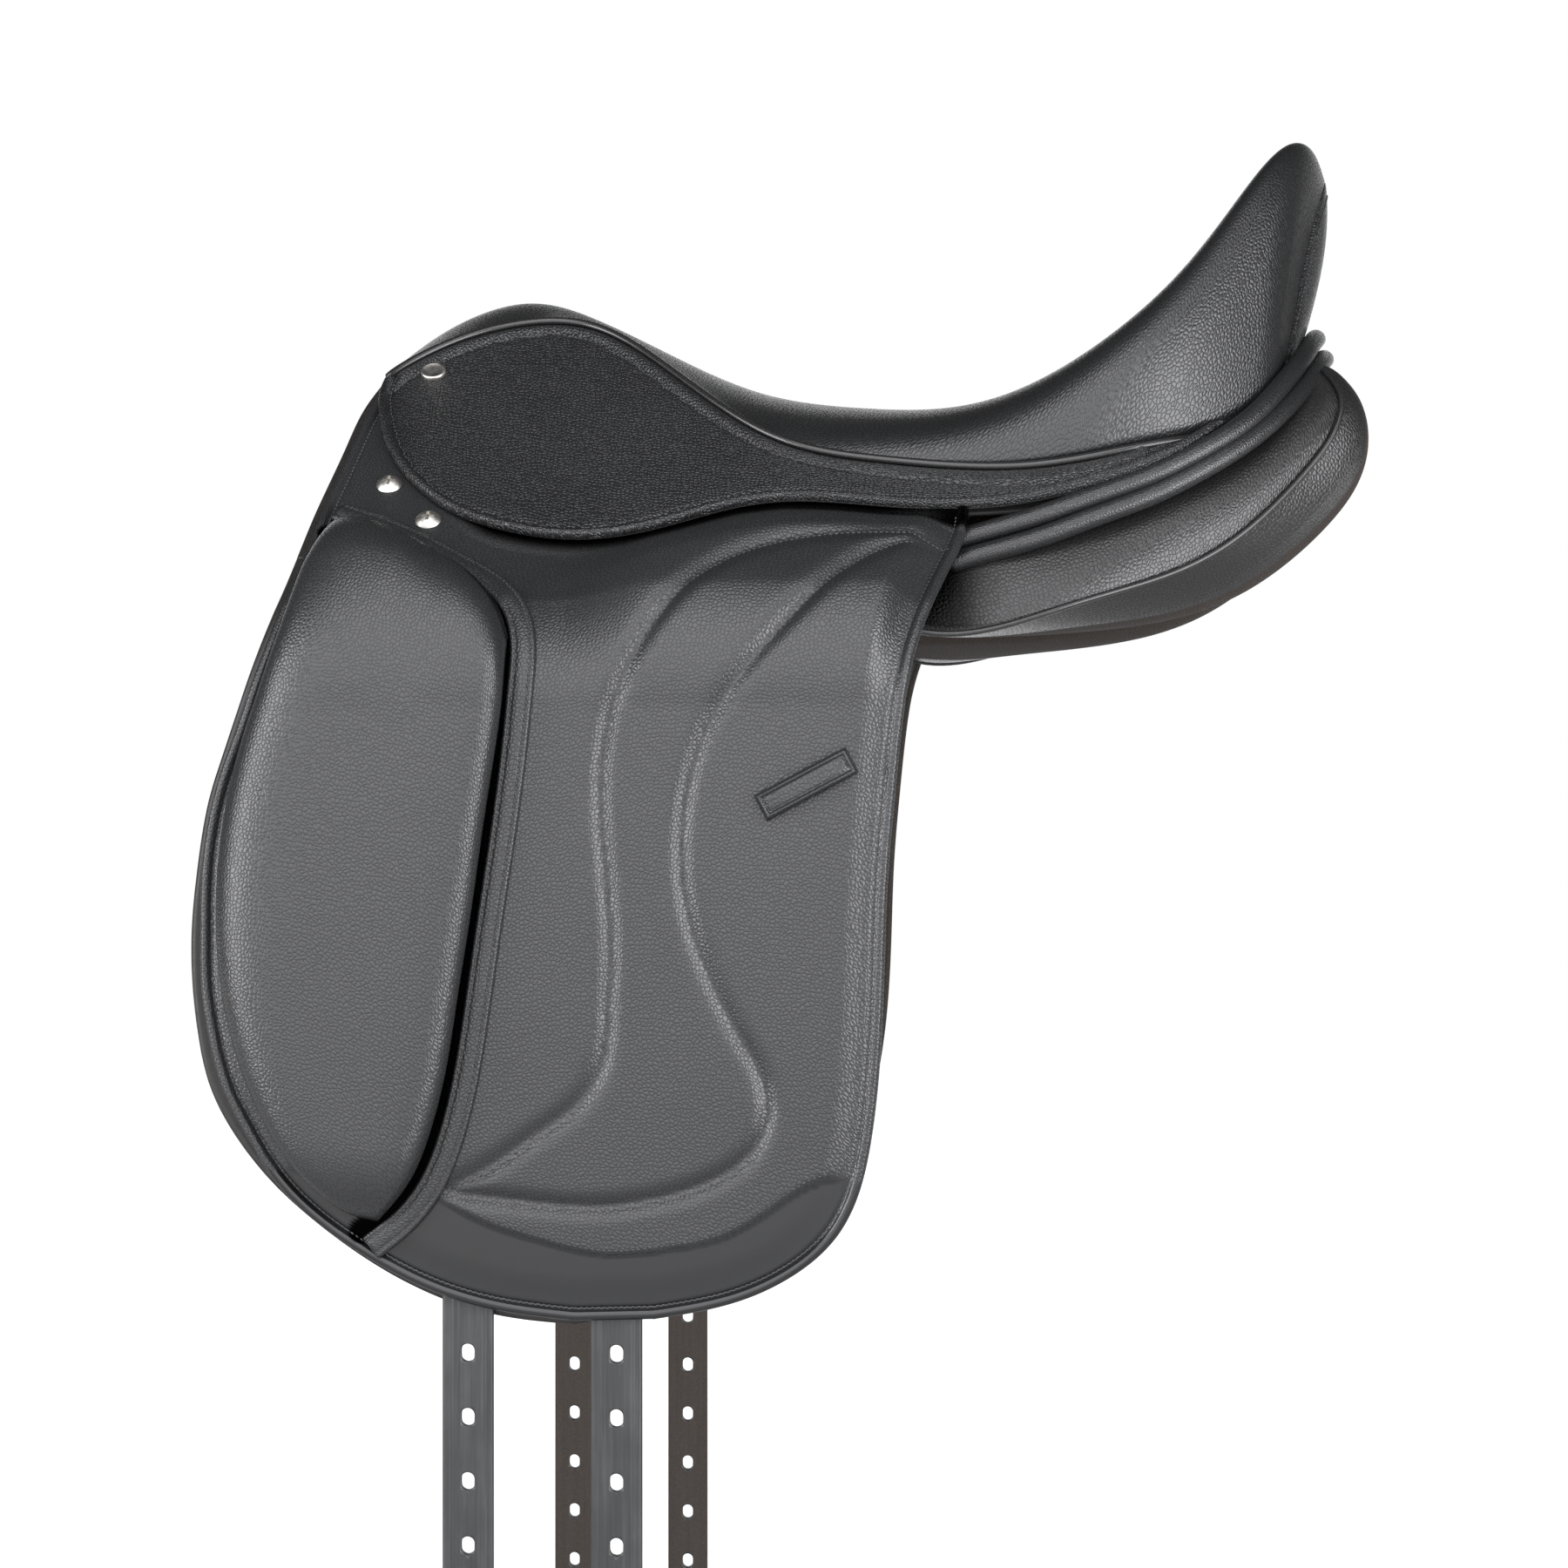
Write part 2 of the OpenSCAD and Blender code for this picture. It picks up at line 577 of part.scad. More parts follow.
// The arch of the head: two legs under the rails and a crown over the channel
module gullet_plate() {
    leg_out = layer([gullet_x, gullet_leg_z], plate_out);
    leg_in = layer([gullet_x, gullet_leg_z], plate_in);
    knee_out = layer([gullet_x, gullet_knee_z], plate_out);
    knee_in = layer([gullet_x, gullet_knee_z], plate_in);
    shoulder_y = knee_out[1] - gullet_shoulder_in;
    outer = [[leg_out[1], leg_out[2]], [knee_out[1], knee_out[2]], [shoulder_y, gullet_shoulder_z],
        [0, gullet_crown_z]];
    inner = [[leg_in[1], leg_in[2]], [knee_in[1], knee_in[2]], [shoulder_y, gullet_shoulder_z - gullet_t],
        [0, gullet_crown_z - gullet_t]];
    color("slategray") difference() {
        translate([gullet_x, 0, 0]) rotate([90, 0, 90]) linear_extrude(gullet_l)
            polygon(concat(outer, flip(back(outer)), flip(inner), back(inner)));
        both() for (p = plate_bolts) slope_pin(p, plate_in - cut, plate_out + cut, rail_hole_d);
    }
}

module plate_rivets() {
    color("silver") both() for (p = plate_bolts) slope_pin(p, plate_in, rail_out, rail_rivet_d);
}

tongue_t = bar_t / 2 - layer_gap / 2;
catch_at = -bar_l / 2 - bar_w / 2;
module stirrup_bar() {
    color("lightsteelblue") on_slope(bar_at) {
        difference() {
            translate([-base_l / 2, base_in, -bar_w / 2]) cube([base_l, base_t, bar_w]);
            for (x = base_bolts) translate([x, base_in - cut, 0]) rotate([-90, 0, 0])
                cylinder(d = rail_hole_d, h = base_t + 2 * cut);
        }
        translate([bar_l / 2 - bar_arm, base_out, -bar_w / 2]) cube([bar_arm, bar_out - base_out, bar_w]);
        translate([-bar_l / 2, bar_in, -bar_w / 2]) cube([bar_l, bar_t, bar_w]);
        translate([catch_at, bar_in, -bar_w / 2]) cube([bar_w / 2, tongue_t, bar_w]);
        translate([catch_at, bar_in, 0]) rotate([-90, 0, 0]) cylinder(d = bar_w, h = tongue_t);
        translate([catch_at, bar_in, 0]) rotate([-90, 0, 0]) cylinder(d = catch_pin_d, h = bar_t);
    }
}

catch_w = 9;
module stirrup_catch() {
    reach = catch_l - catch_w / 2;
    color("silver") on_slope(bar_at)
        translate([catch_at, bar_in + tongue_t + layer_gap, 0]) rotate([-90, 0, 0]) difference() {
            union() {
                cylinder(d = catch_w, h = tongue_t);
                translate([-reach, -catch_w / 2, 0]) cube([reach, catch_w, tongue_t]);
                translate([-reach, 0, 0]) cylinder(d = catch_w, h = tongue_t);
            }
            translate([0, 0, -cut]) cylinder(d = catch_pin_d + 2 * pin_clear, h = tongue_t + 2 * cut);
        }
}

module bar_rivets() {
    color("silver") both() on_slope(bar_at) for (x = base_bolts)
        translate([x, rail_in, 0]) rotate([-90, 0, 0]) cylinder(d = rail_rivet_d, h = base_out - rail_in);
}

// Girth straps

web_margin = 5;
web_steps = 20;
module girth_webs() {
    low = pivot_z - rivet_d / 2 - web_margin;
    high = web_bolt_z + web_margin;
    heights = [for (i = [0:web_steps]) low + (high - low) * i / web_steps];
    outer = [for (z = heights) let (p = layer([0, z], web_out)) [p[1], z]];
    inner = [for (i = [web_steps:-1:0]) let (p = layer([0, heights[i]], web_in)) [p[1], heights[i]]];
    color("beige") difference() {
        for (x = strap_x) translate([x - strap_w / 2, 0, 0])
            rotate([90, 0, 90]) linear_extrude(strap_w) polygon(concat(outer, inner));
        for (x = strap_x) strap_pin(x, web_in - cut, web_out + cut, rivet_d + 2 * pin_clear);
        for (p = web_bolts) slope_pin(p, web_in - cut, web_out + cut, rail_hole_d);
    }
}

// A pin across the upright layers at the strap rivet of the strap at x
module strap_pin(x, inner, outer, d) {
    translate([x, side_y + inner, pivot_z]) rotate([-90, 0, 0]) cylinder(d = d, h = outer - inner);
}

module web_nails() {
    color("silver") both() for (p = web_bolts) slope_pin(p, rail_in, web_out, rail_rivet_d);
}

module strap_rivets() {
    color("silver") both() for (x = strap_x) {
        strap_pin(x, web_in, strap_out + head_gap, rivet_d);
        strap_pin(x, strap_out + head_gap, head_out, rivet_head_d);
    }
}

tip_h = 12;
tip_w = 7.5;
module girth_strap(x) {
    count = floor((hole_top_z - strap_tip_z - tip_h - hole_l) / hole_pitch) + 1;
    wide = strap_w / 2;
    tip = strap_tip_z - pivot_z;
    color("dimgray") translate([x, side_y + strap_out, pivot_z]) rotate([90, 0, 0])
        linear_extrude(strap_t) difference() {
            union() {
                circle(d = strap_w);
                polygon([[-wide, 0], [-wide, tip + tip_h], [-tip_w / 2, tip], [tip_w / 2, tip],
                    [wide, tip + tip_h], [wide, 0]]);
            }
            circle(d = rivet_d + 2 * pin_clear);
            for (k = [0:count - 1]) translate([0, hole_top_z - k * hole_pitch - pivot_z]) {
                square([hole_w, hole_l - hole_w], center = true);
                for (end = [-1, 1]) translate([0, end * (hole_l - hole_w) / 2]) circle(d = hole_w);
            }
        }
}

// Panels

function front_wall(z, d) = [for (i = [0:len(z) - 1]) layer([panel_x[i], z[i]], d)];
function back_wall(p) = [for (i = [0:len(p) - 1]) [panel_x[len(panel_front_top_z) + i], p[i][0], p[i][1]]];
function inner_wall(p) = [for (i = [0:len(p) - 1]) [panel_x[i], half_channel + p[i][0], p[i][1]]];
panel_rows = 22;
bottom_steps = 5;
corner_top_in = smooth(inner_wall(panel_inner_top), panel_rows);
corner_low_in = smooth(inner_wall(panel_inner_low), panel_rows);
function outer_wall(z, d, back) = smooth(concat(front_wall(z, d), back_wall(back)), panel_rows);
panel_clear = 1.5;
corner_top_out = outer_wall(panel_front_top_z, panel_wall, panel_back_top);
corner_mid_out = outer_wall(panel_front_mid_z, panel_wall, panel_back_mid);
corner_low_out = outer_wall(panel_front_low_z, -panel_clear, panel_back_low);
drawn_in = 3;
// One ring of the panel: flat top, two outer walls, a crowned underside and a drawn-in channel side
function panel_ring(i) =
    let (a = corner_top_in[i], b = corner_top_out[i], e = corner_mid_out[i],
        c = corner_low_out[i], d = corner_low_in[i],
        run = d - c, down = [0, run[2], -run[1]] / norm(run))
    concat([a, (a + b) / 2, b, e, c],
        [for (k = [1:bottom_steps]) let (u = k / (bottom_steps + 1))
            c + run * u - down * panel_crown * 4 * u * (1 - u)],
        [d, (a + d) / 2 + [0, drawn_in, 0]]);

module panel() {
    color("dimgray") loft([for (i = [0:panel_rows - 1]) panel_ring(i)]);
}

panel_welt_first = 9;
module panel_welt() {
    out = panel_welt_d / 2 + welt_clear;
    path = [for (i = [panel_welt_first:panel_rows - 2]) corner_low_out[i] + [0, out, 0]];
    color("black") cord(path, panel_welt_d, cord_sides);
}

tree();
left() tree_rail();  // tree_rail_left
right() tree_rail();  // tree_rail_right
gullet_plate();
plate_rivets();
left() stirrup_bar();  // stirrup_bar_left
right() stirrup_bar();  // stirrup_bar_right
left() stirrup_catch();  // stirrup_catch_left
right() stirrup_catch();  // stirrup_catch_right
bar_rivets();
seat_foam();
seat_cover();
left() seat_welt();  // seat_welt_left
right() seat_welt();  // seat_welt_right
cantle_back();
rear_roll(roll_upper);  // rear_roll_upper
rear_roll(roll_lower);  // rear_roll_lower
left() skirt_root();  // skirt_root_left
right() skirt_root();  // skirt_root_right
left() skirt();  // skirt_left
right() skirt();  // skirt_right
head_nails();
left() flap_top();  // flap_top_left
right() flap_top();  // flap_top_right
left() flap();  // flap_left
right() flap();  // flap_right
left() flap_facing();  // flap_facing_left
right() flap_facing();  // flap_facing_right
left() knee_block();  // knee_block_left
right() knee_block();  // knee_block_right
left() knee_welt();  // knee_welt_left
right() knee_welt();  // knee_welt_right
left() keeper();  // keeper_left
right() keeper();  // keeper_right
flap_screws();
left() sweat_flap();  // sweat_flap_left
right() sweat_flap();  // sweat_flap_right
left() panel();  // panel_left
right() panel();  // panel_right
left() panel_welt();  // panel_welt_left
right() panel_welt();  // panel_welt_right
left() girth_strap(strap_x[0]);  // girth_strap_front_left
left() girth_strap(strap_x[1]);  // girth_strap_rear_left
right() girth_strap(strap_x[0]);  // girth_strap_front_right
right() girth_strap(strap_x[1]);  // girth_strap_rear_right
left() girth_webs();  // girth_webs_left
right() girth_webs();  // girth_webs_right
web_nails();
strap_rivets();
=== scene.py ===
import math

import bmesh
import bpy
import numpy as np
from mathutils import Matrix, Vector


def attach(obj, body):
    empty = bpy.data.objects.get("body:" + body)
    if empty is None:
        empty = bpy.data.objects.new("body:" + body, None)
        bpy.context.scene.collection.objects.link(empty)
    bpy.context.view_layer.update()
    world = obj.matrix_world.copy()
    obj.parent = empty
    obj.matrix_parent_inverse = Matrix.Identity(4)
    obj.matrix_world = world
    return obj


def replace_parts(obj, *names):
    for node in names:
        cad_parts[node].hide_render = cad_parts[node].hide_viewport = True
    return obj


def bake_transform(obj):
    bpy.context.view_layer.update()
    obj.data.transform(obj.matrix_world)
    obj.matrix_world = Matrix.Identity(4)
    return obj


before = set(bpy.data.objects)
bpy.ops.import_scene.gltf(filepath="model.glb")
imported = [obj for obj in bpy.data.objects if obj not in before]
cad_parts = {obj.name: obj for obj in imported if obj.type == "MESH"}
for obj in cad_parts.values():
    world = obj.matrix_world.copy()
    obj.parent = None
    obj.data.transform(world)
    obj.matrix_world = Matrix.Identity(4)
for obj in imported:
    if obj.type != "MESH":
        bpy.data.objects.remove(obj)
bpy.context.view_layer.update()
print("frame loaded,", len(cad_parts), "CAD nodes")

mm = 0.001  # every length below is in millimetres, and meshes are in metres

# curves and meshes


def ease(t):
    # smooth step from 0 to 1
    t = np.clip(t, 0, 1)
    return t * t * (3 - 2 * t)


def unit(v):
    # vectors at length 1
    return v / np.maximum(np.linalg.norm(v, axis=-1, keepdims=True), 1e-9)


def bellAt(d, wide):
    # bell curve of a distance
    return np.exp(-(d / wide) ** 2)


def beadAt(edge, wide, high):
    # half-round bead along an edge: a half ellipse of the distance to it
    r = wide / 2
    return high * np.sqrt(np.clip(1 - ((edge - r) / r) ** 2, 0, 1))


def edgeRound(edge, thick):
    # how far a rounded edge falls away from the face: a quarter circle of the distance to it
    d = np.clip(edge / (thick / 2), 0, 1)
    return thick / 2 * (1 - np.sqrt(np.clip(1 - (1 - d) ** 2, 0, 1)))


def splineAt(points, knots, at):
    # natural cubic spline through points at their knots: two cubic weights and two straight ones
    p, knots = np.array(points, float), np.array(knots, float)
    h = np.diff(knots)
    system, load = np.eye(len(p)), np.zeros_like(p)
    k = np.arange(1, len(p) - 1)
    system[k, k - 1], system[k, k], system[k, k + 1] = h[:-1], 2 * (h[:-1] + h[1:]), h[1:]
    load[1:-1] = 6 * np.diff(np.diff(p, axis=0) / h[:, None], axis=0)
    bend = np.linalg.solve(system, load)
    k = np.clip(np.searchsorted(knots, at, "right") - 1, 0, len(h) - 1)
    a, b, w = (knots[k + 1] - at)[:, None], (at - knots[k])[:, None], h[k][:, None]
    return ((bend[k] * a ** 3 + bend[k + 1] * b ** 3) / (6 * w)
            + (p[k] / w - bend[k] * w / 6) * a + (p[k + 1] / w - bend[k + 1] * w / 6) * b)


def pathAt(path, shares):
    # a path read at shares of its length
    run = np.append(0, np.cumsum(np.linalg.norm(np.diff(path, axis=0), axis=1)))
    at = np.asarray(shares) * run[-1]
    return np.stack([np.interp(at, run, path[:, k]) for k in range(path.shape[1])], -1)


def offsetPath(path, by):
    # a flat path moved square to itself
    run = unit(np.gradient(path, axis=0))
    return path + by * np.stack([-run[:, 1], run[:, 0]], -1)


def curve(points, shares):
    # spline by chord length through points, read at shares of its length, or at that many even ones
    p = np.array(points, float)
    knots = np.append(0, np.cumsum(np.linalg.norm(np.diff(p, axis=0), axis=1)))
    shares = np.linspace(0, 1, shares) if np.isscalar(shares) else shares
    return pathAt(splineAt(p, knots, np.linspace(0, knots[-1], 1600)), shares)


def crowded(count, share):
    # even steps drawn together at both ends: s less a share of a sine wave
    s = np.linspace(0, 1, count)
    return s - share * np.sin(2 * np.pi * s) / (2 * np.pi)


def mirrored(half):
    # points of the left side as far as the middle, and on to the right side
    half = np.array(half, float)
    return np.concatenate([half, half[-2::-1] * np.array([1, -1, 1])])


def distanceTo(spots, path):
    # distance of each spot to the nearest piece of a path, in blocks of rows
    a, d = path[:-1], np.diff(path, axis=0)
    found = []
    for block in np.array_split(spots.reshape(-1, path.shape[1]), 1 + spots.size // 9000):
        q = block[:, None] - a
        t = np.clip((q * d).sum(2) / (d * d).sum(1), 0, 1)
        found.append(np.linalg.norm(q - t[..., None] * d, axis=2).min(1))
    return np.concatenate(found).reshape(spots.shape[:-1])


def patch(front, rear, top, bottom, across, along):
    # Coons patch of four border curves: ruled both ways, less the corners' plane
    u, v = across[None, :, None], along[:, None, None]
    f, r = pathAt(front, along)[:, None], pathAt(rear, along)[:, None]
    t, b = pathAt(top, across)[None], pathAt(bottom, across)[None]
    corners = ((1 - u) * (1 - v) * front[0] + u * (1 - v) * rear[0]
               + (1 - u) * v * front[-1] + u * v * rear[-1])
    return (1 - u) * f + u * r + (1 - v) * t + v * b - corners


def gridFaces(rows, cols, start=0, loop=False):
    # quads of a grid of points, row by row, with each row closed if it is a loop
    i, j = np.meshgrid(np.arange(rows - 1), np.arange(cols if loop else cols - 1), indexing="ij")
    k = (j + 1) % cols
    here, below = i * cols, (i + 1) * cols
    return start + np.stack([here + j, here + k, below + k, below + j], -1).reshape(-1, 4)


def slab(outer, inner):
    # two stacked grids and the strip that joins their borders
    rows, cols = outer.shape[:2]
    n = rows * cols
    border = np.concatenate([np.arange(cols), np.arange(1, rows) * cols + cols - 1,
                             (rows - 1) * cols + np.arange(cols - 2, -1, -1), np.arange(rows - 2, 0, -1) * cols])
    after = np.roll(border, -1)
    rim = np.stack([border, after, after + n, border + n], -1)
    points = np.concatenate([outer.reshape(-1, 3), inner.reshape(-1, 3)])
    flesh = spread(inner)
    flesh[1:-1, 1:-1, 2] = 1 / mm  # the rim keeps the grain side's finish
    skin = np.concatenate([spread(outer).reshape(-1, 3), flesh.reshape(-1, 3)])
    return points, np.concatenate([gridFaces(rows, cols), gridFaces(rows, cols, n)[:, ::-1], rim]), skin


def carried(path, profile, up, swell=None):
    # profile carried along a path: place + side * its x + up * its y, drawn to a point at both ends
    run = unit(np.gradient(path, axis=0))
    side = unit(np.cross(run, up))
    top = np.cross(side, run)
    swell = np.ones(len(path)) if swell is None else swell
    size = np.concatenate([[0], swell, [0]])[:, None, None]
    path, side, top = (np.concatenate([a[:1], a, a[-1:]])[:, None] for a in (path, side, top))
    rings = path + size * (side * profile[None, :, :1] + top * profile[None, :, 1:])
    return rings.reshape(-1, 3), gridFaces(len(rings), len(profile), loop=True), spread(rings)


def ringProfile(wide, high, sides):
    # ellipse about the path
    t = np.linspace(0, 2 * np.pi, sides, endpoint=False)
    return np.stack([wide / 2 * np.cos(t), high / 2 * np.sin(t)], -1)


def domeEnds(count, run, radius):
    # size of a cord's rings: round caps of its own radius at both ends
    s = np.linspace(0, run, count)
    d = np.clip(np.minimum(s, run - s) / radius, 0, 1)
    return np.sqrt(np.clip(1 - (1 - d) ** 2, 0.02, 1))


def joined(parts):
    # several point and face arrays as one
    points, faces, start = [], [], 0
    for p, f in parts:
        points.append(p)
        faces.append(f + start)
        start += len(p)
    return np.concatenate(points), np.concatenate(faces)


def spread(grid):
    # place on the skin of a grid: lengths run along its rows and columns; the third number marks
    # a sheet's inner face with 1 and painted shade, in gaps and under other parts, with values down to -1
    down = np.cumsum(np.linalg.norm(np.diff(grid, axis=0, prepend=grid[:1]), axis=2), axis=0)
    over = np.cumsum(np.linalg.norm(np.diff(grid, axis=1, prepend=grid[:, :1]), axis=2), axis=1)
    down = down - down.mean(0, keepdims=True) + down.mean()
    return np.stack([over - over.mean(1, keepdims=True), down, 0 * down], -1)


def addPiece(name, shape, material, flip=False):
    # a shape is points, faces and, where its leather is grained, the place of each point on the skin
    points, faces = shape[:2]
    points = points.reshape(-1, 3) * (np.array([1, -1, 1]) if flip else 1) * mm
    mesh = bpy.data.meshes.new(name)
    mesh.from_pydata(points.tolist(), [], faces.tolist())
    skin = shape[2].reshape(-1, 3) * mm if len(shape) > 2 else points
    marks = mesh.attributes.new("skin", "FLOAT_VECTOR", "POINT")
    marks.data.foreach_set("vector", skin.astype(np.float32).ravel())
    work = bmesh.new()
    work.from_mesh(mesh)
    bmesh.ops.remove_doubles(work, verts=work.verts, dist=2e-6)
    bmesh.ops.recalc_face_normals(work, faces=work.faces)
    work.to_mesh(mesh)
    work.free()
    mesh.polygons.foreach_set("use_smooth", np.ones(len(mesh.polygons), bool))
    mesh.materials.append(material)
    mesh.update()
    piece = bpy.data.objects.new(name, mesh)
    bpy.context.scene.collection.objects.link(piece)
    return piece


def bothSides(name, shape, material):
    # the left piece and its mirror image
    return [(side, addPiece(f"{name}_{side}", shape, material, side == "right"))
            for side in ("left", "right")]


stitchLook = dict(length=1.8, pitch=2.5, radius=0.44, tilt=10, sides=6,
                  rings=((-0.5, 0), (-0.36, 0.8), (0, 1), (0.36, 0.8), (0.5, 0)))  # shares of length and radius


def stitches(path, up, look=stitchLook):
    # a row of small spindles laid along a path, each turned a little across it
    run = np.linalg.norm(np.diff(path, axis=0), axis=1).sum()
    count = max(2, int(run / look["pitch"]))
    shares = (np.arange(count) + 0.5) / count
    place, knots, step = pathAt(path, shares), np.linspace(0, 1, len(up)), 0.2 / count
    lift = unit(np.stack([np.interp(shares, knots, up[:, k]) for k in range(3)], -1))
    way = unit(pathAt(path, np.minimum(shares + step, 1)) - pathAt(path, np.maximum(shares - step, 0)))
    side = unit(np.cross(way, lift))
    tilt = math.radians(look["tilt"])
    way, side = way * math.cos(tilt) + side * math.sin(tilt), side * math.cos(tilt) - way * math.sin(tilt)
    a, r = (np.array(look["rings"]) * np.array([look["length"], look["radius"]])).T
    t = np.linspace(0, 2 * np.pi, look["sides"], endpoint=False)
    points = (place[:, None, None] + way[:, None, None] * a[None, :, None, None]
              + (side[:, None, None] * np.cos(t)[:, None] + lift[:, None, None] * np.sin(t)[:, None])
              * r[None, :, None, None])
    faces = gridFaces(len(a), len(t), loop=True)[None] + (np.arange(count) * len(a) * len(t))[:, None, None]
    return points.reshape(-1, 3), faces.reshape(-1, 4)


# the layers of a side, as in the frame: upright, an arc, then a plane slope

wall = dict(halfWidth=198, bendZ=-20, bendR=60, slope=math.radians(45),
            hang=13.3, top=9.7, skirt=13.0, strapOut=8.4)
wallRise = wall["bendR"] * math.sin(wall["slope"])


def leanAt(z):
    # slope of the side at z: the arc's angle, as far as the plane's
    return np.arcsin(np.clip((z - wall["bendZ"]) / wall["bendR"], 0, math.sin(wall["slope"])))


def outAt(z):
    # outward direction of the side at z
    lean = leanAt(z)
    return np.stack([0 * lean, np.cos(lean), np.sin(lean)], -1)


def onLayer(x, z, depth):
    # inner face of the side at z, moved out by a depth square to it
    lean = leanAt(z)
    above = np.maximum(z - wall["bendZ"] - wallRise, 0)
    inside = wall["halfWidth"] - wall["bendR"] * (1 - np.cos(lean)) - above * math.tan(wall["slope"])
    y = inside + depth / np.cos(lean)
    return np.stack([x + 0 * y, y, z + 0 * y], -1)


def onFlap(x, z, height):
    # outer face of the flap, which lies closer to the tree above its bend, and a height over it
    depth = wall["hang"] + (wall["top"] - wall["hang"]) * ease((z - wall["bendZ"]) / wallRise)
    return onLayer(x, z, depth) + np.asarray(height)[..., None] * outAt(z)


outSlope = np.array([0, math.sin(wall["slope"]), math.cos(wall["slope"])])
downSlope = np.array([0, math.cos(wall["slope"]), -math.sin(wall["slope"])])


def foldBlend(piece, side, body, foldFront, foldRear, depth, room):
    # the fold line's ends on the slope, the way square to it and its middle are found but not used; the piece's place
    # is only baked into its mesh
    a, b = (onLayer(np.array(p[0]), np.array(p[1]), depth) for p in (foldFront, foldRear))
    way = unit(np.cross(outSlope, a - b))
    way, middle = way * (1 if way[2] < 0 else -1), (a + b) / 2
    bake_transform(piece)


# materials

def addGroup(name, ins, outs):
    tree = bpy.data.node_groups.new(name, "ShaderNodeTree")
    for label, kind, value in ins:
        socket = tree.interface.new_socket(name=label, in_out="INPUT", socket_type=kind)
        if value is not None:
            socket.default_value = value
    for label, kind in outs:
        tree.interface.new_socket(name=label, in_out="OUTPUT", socket_type=kind)
    return tree, tree.nodes.new("NodeGroupInput"), tree.nodes.new("NodeGroupOutput")


def addNode(tree, kind, inputs=None, **settings):
    made = tree.nodes.new(kind)
    for key, value in settings.items():
        setattr(made, key, value)
    for key, value in (inputs or {}).items():
        if isinstance(value, bpy.types.NodeSocket):
            tree.links.new(value, made.inputs[key])
        else:
            made.inputs[key].default_value = value
    return made


def mapRange(tree, value, low, high, toLow=0.0, toHigh=1.0, kind="SMOOTHSTEP"):
    return addNode(tree, "ShaderNodeMapRange", {0: value, 1: low, 2: high, 3: toLow, 4: toHigh},
                   interpolation_type=kind).outputs[0]


def mathNode(tree, operation, a, b):
    return addNode(tree, "ShaderNodeMath", {0: a, 1: b}, operation=operation).outputs[0]


def mixColour(tree, factor, a, b, blend="MIX"):
    return addNode(tree, "ShaderNodeMix", {0: factor, 6: a, 7: b}, data_type="RGBA", blend_type=blend).outputs[2]


def makePebbleGrain():
    # cells of pressed leather: distance to the cell's edge gives the crease, a second finer net breaks the tops
    tree, inside, outside = addGroup(
        "pebbleGrain",
        [("Vector", "NodeSocketVector", None), ("Cells", "NodeSocketFloat", 560.0),
         ("Crease", "NodeSocketFloat", 0.17)],
        [("Height", "NodeSocketFloat"), ("Creases", "NodeSocketFloat"), ("Tone", "NodeSocketFloat")])
    place = inside.outputs["Vector"]
    wander = addNode(tree, "ShaderNodeTexNoise", {"Vector": place, "Scale": 160.0, "Detail": 2.0})
    shift = addNode(tree, "ShaderNodeVectorMath", {0: wander.outputs["Color"], 1: (0.0016, 0.0016, 0.0016)},
                    operation="MULTIPLY").outputs[0]
    bent = addNode(tree, "ShaderNodeVectorMath", {0: place, 1: shift}, operation="ADD").outputs[0]
    net = addNode(tree, "ShaderNodeTexVoronoi", {"Vector": bent, "Scale": inside.outputs["Cells"], "Randomness": 0.9},
                  feature="DISTANCE_TO_EDGE", voronoi_dimensions="2D")
    fineScale = mathNode(tree, "MULTIPLY", inside.outputs["Cells"], 2.7)
    fine = addNode(tree, "ShaderNodeTexVoronoi", {"Vector": bent, "Scale": fineScale}, feature="DISTANCE_TO_EDGE",
                   voronoi_dimensions="2D")
    dome = addNode(tree, "ShaderNodeMapRange", {0: net.outputs["Distance"], 1: 0.0, 2: inside.outputs["Crease"]},
                   interpolation_type="SMOOTHSTEP").outputs[0]
    crown = mapRange(tree, net.outputs["Distance"], 0.0, 0.55)
    small = mapRange(tree, fine.outputs["Distance"], 0.0, 0.2)
    domed = mathNode(tree, "MULTIPLY_ADD", crown, 0.8)
    tree.links.new(mathNode(tree, "MULTIPLY", dome, 0.5), domed.node.inputs[2])
    height = mathNode(tree, "MULTIPLY_ADD", small, 0.08)
    tree.links.new(domed, height.node.inputs[2])
    tree.links.new(height, outside.inputs["Height"])
    creases = mathNode(tree, "SUBTRACT", 1.0, dome)
    tree.links.new(creases, outside.inputs["Creases"])
    cloud = addNode(tree, "ShaderNodeTexNoise", {"Vector": place, "Scale": 14.0, "Detail": 4.0, "Roughness": 0.6})
    tree.links.new(mapRange(tree, cloud.outputs["Fac"], 0.3, 0.7, kind="LINEAR"), outside.inputs["Tone"])
    return tree


pebbleGrain = makePebbleGrain()


def grey(level, warm=0.0):
    # a linear grey, a little warmer or cooler
    return (level * (1 + warm), level, level * (1 - warm), 1.0)


def startMaterial(name):
    material = bpy.data.materials.new(name)
    material.use_nodes = True
    tree = material.node_tree
    shader = tree.nodes["Principled BSDF"]
    place = tree.nodes.new("ShaderNodeTexCoord").outputs["Object"]
    return material, tree, shader, place


def fleshSide(tree, place):
    # brown unfinished side of a hide, with a short fibrous noise
    fibre = addNode(tree, "ShaderNodeTexNoise", {"Vector": place, "Scale": 700.0, "Detail": 5.0, "Roughness": 0.7})
    return mixColour(tree, mapRange(tree, fibre.outputs["Fac"], 0.3, 0.7), (0.016, 0.011, 0.008, 1),
                     (0.032, 0.022, 0.015, 1))


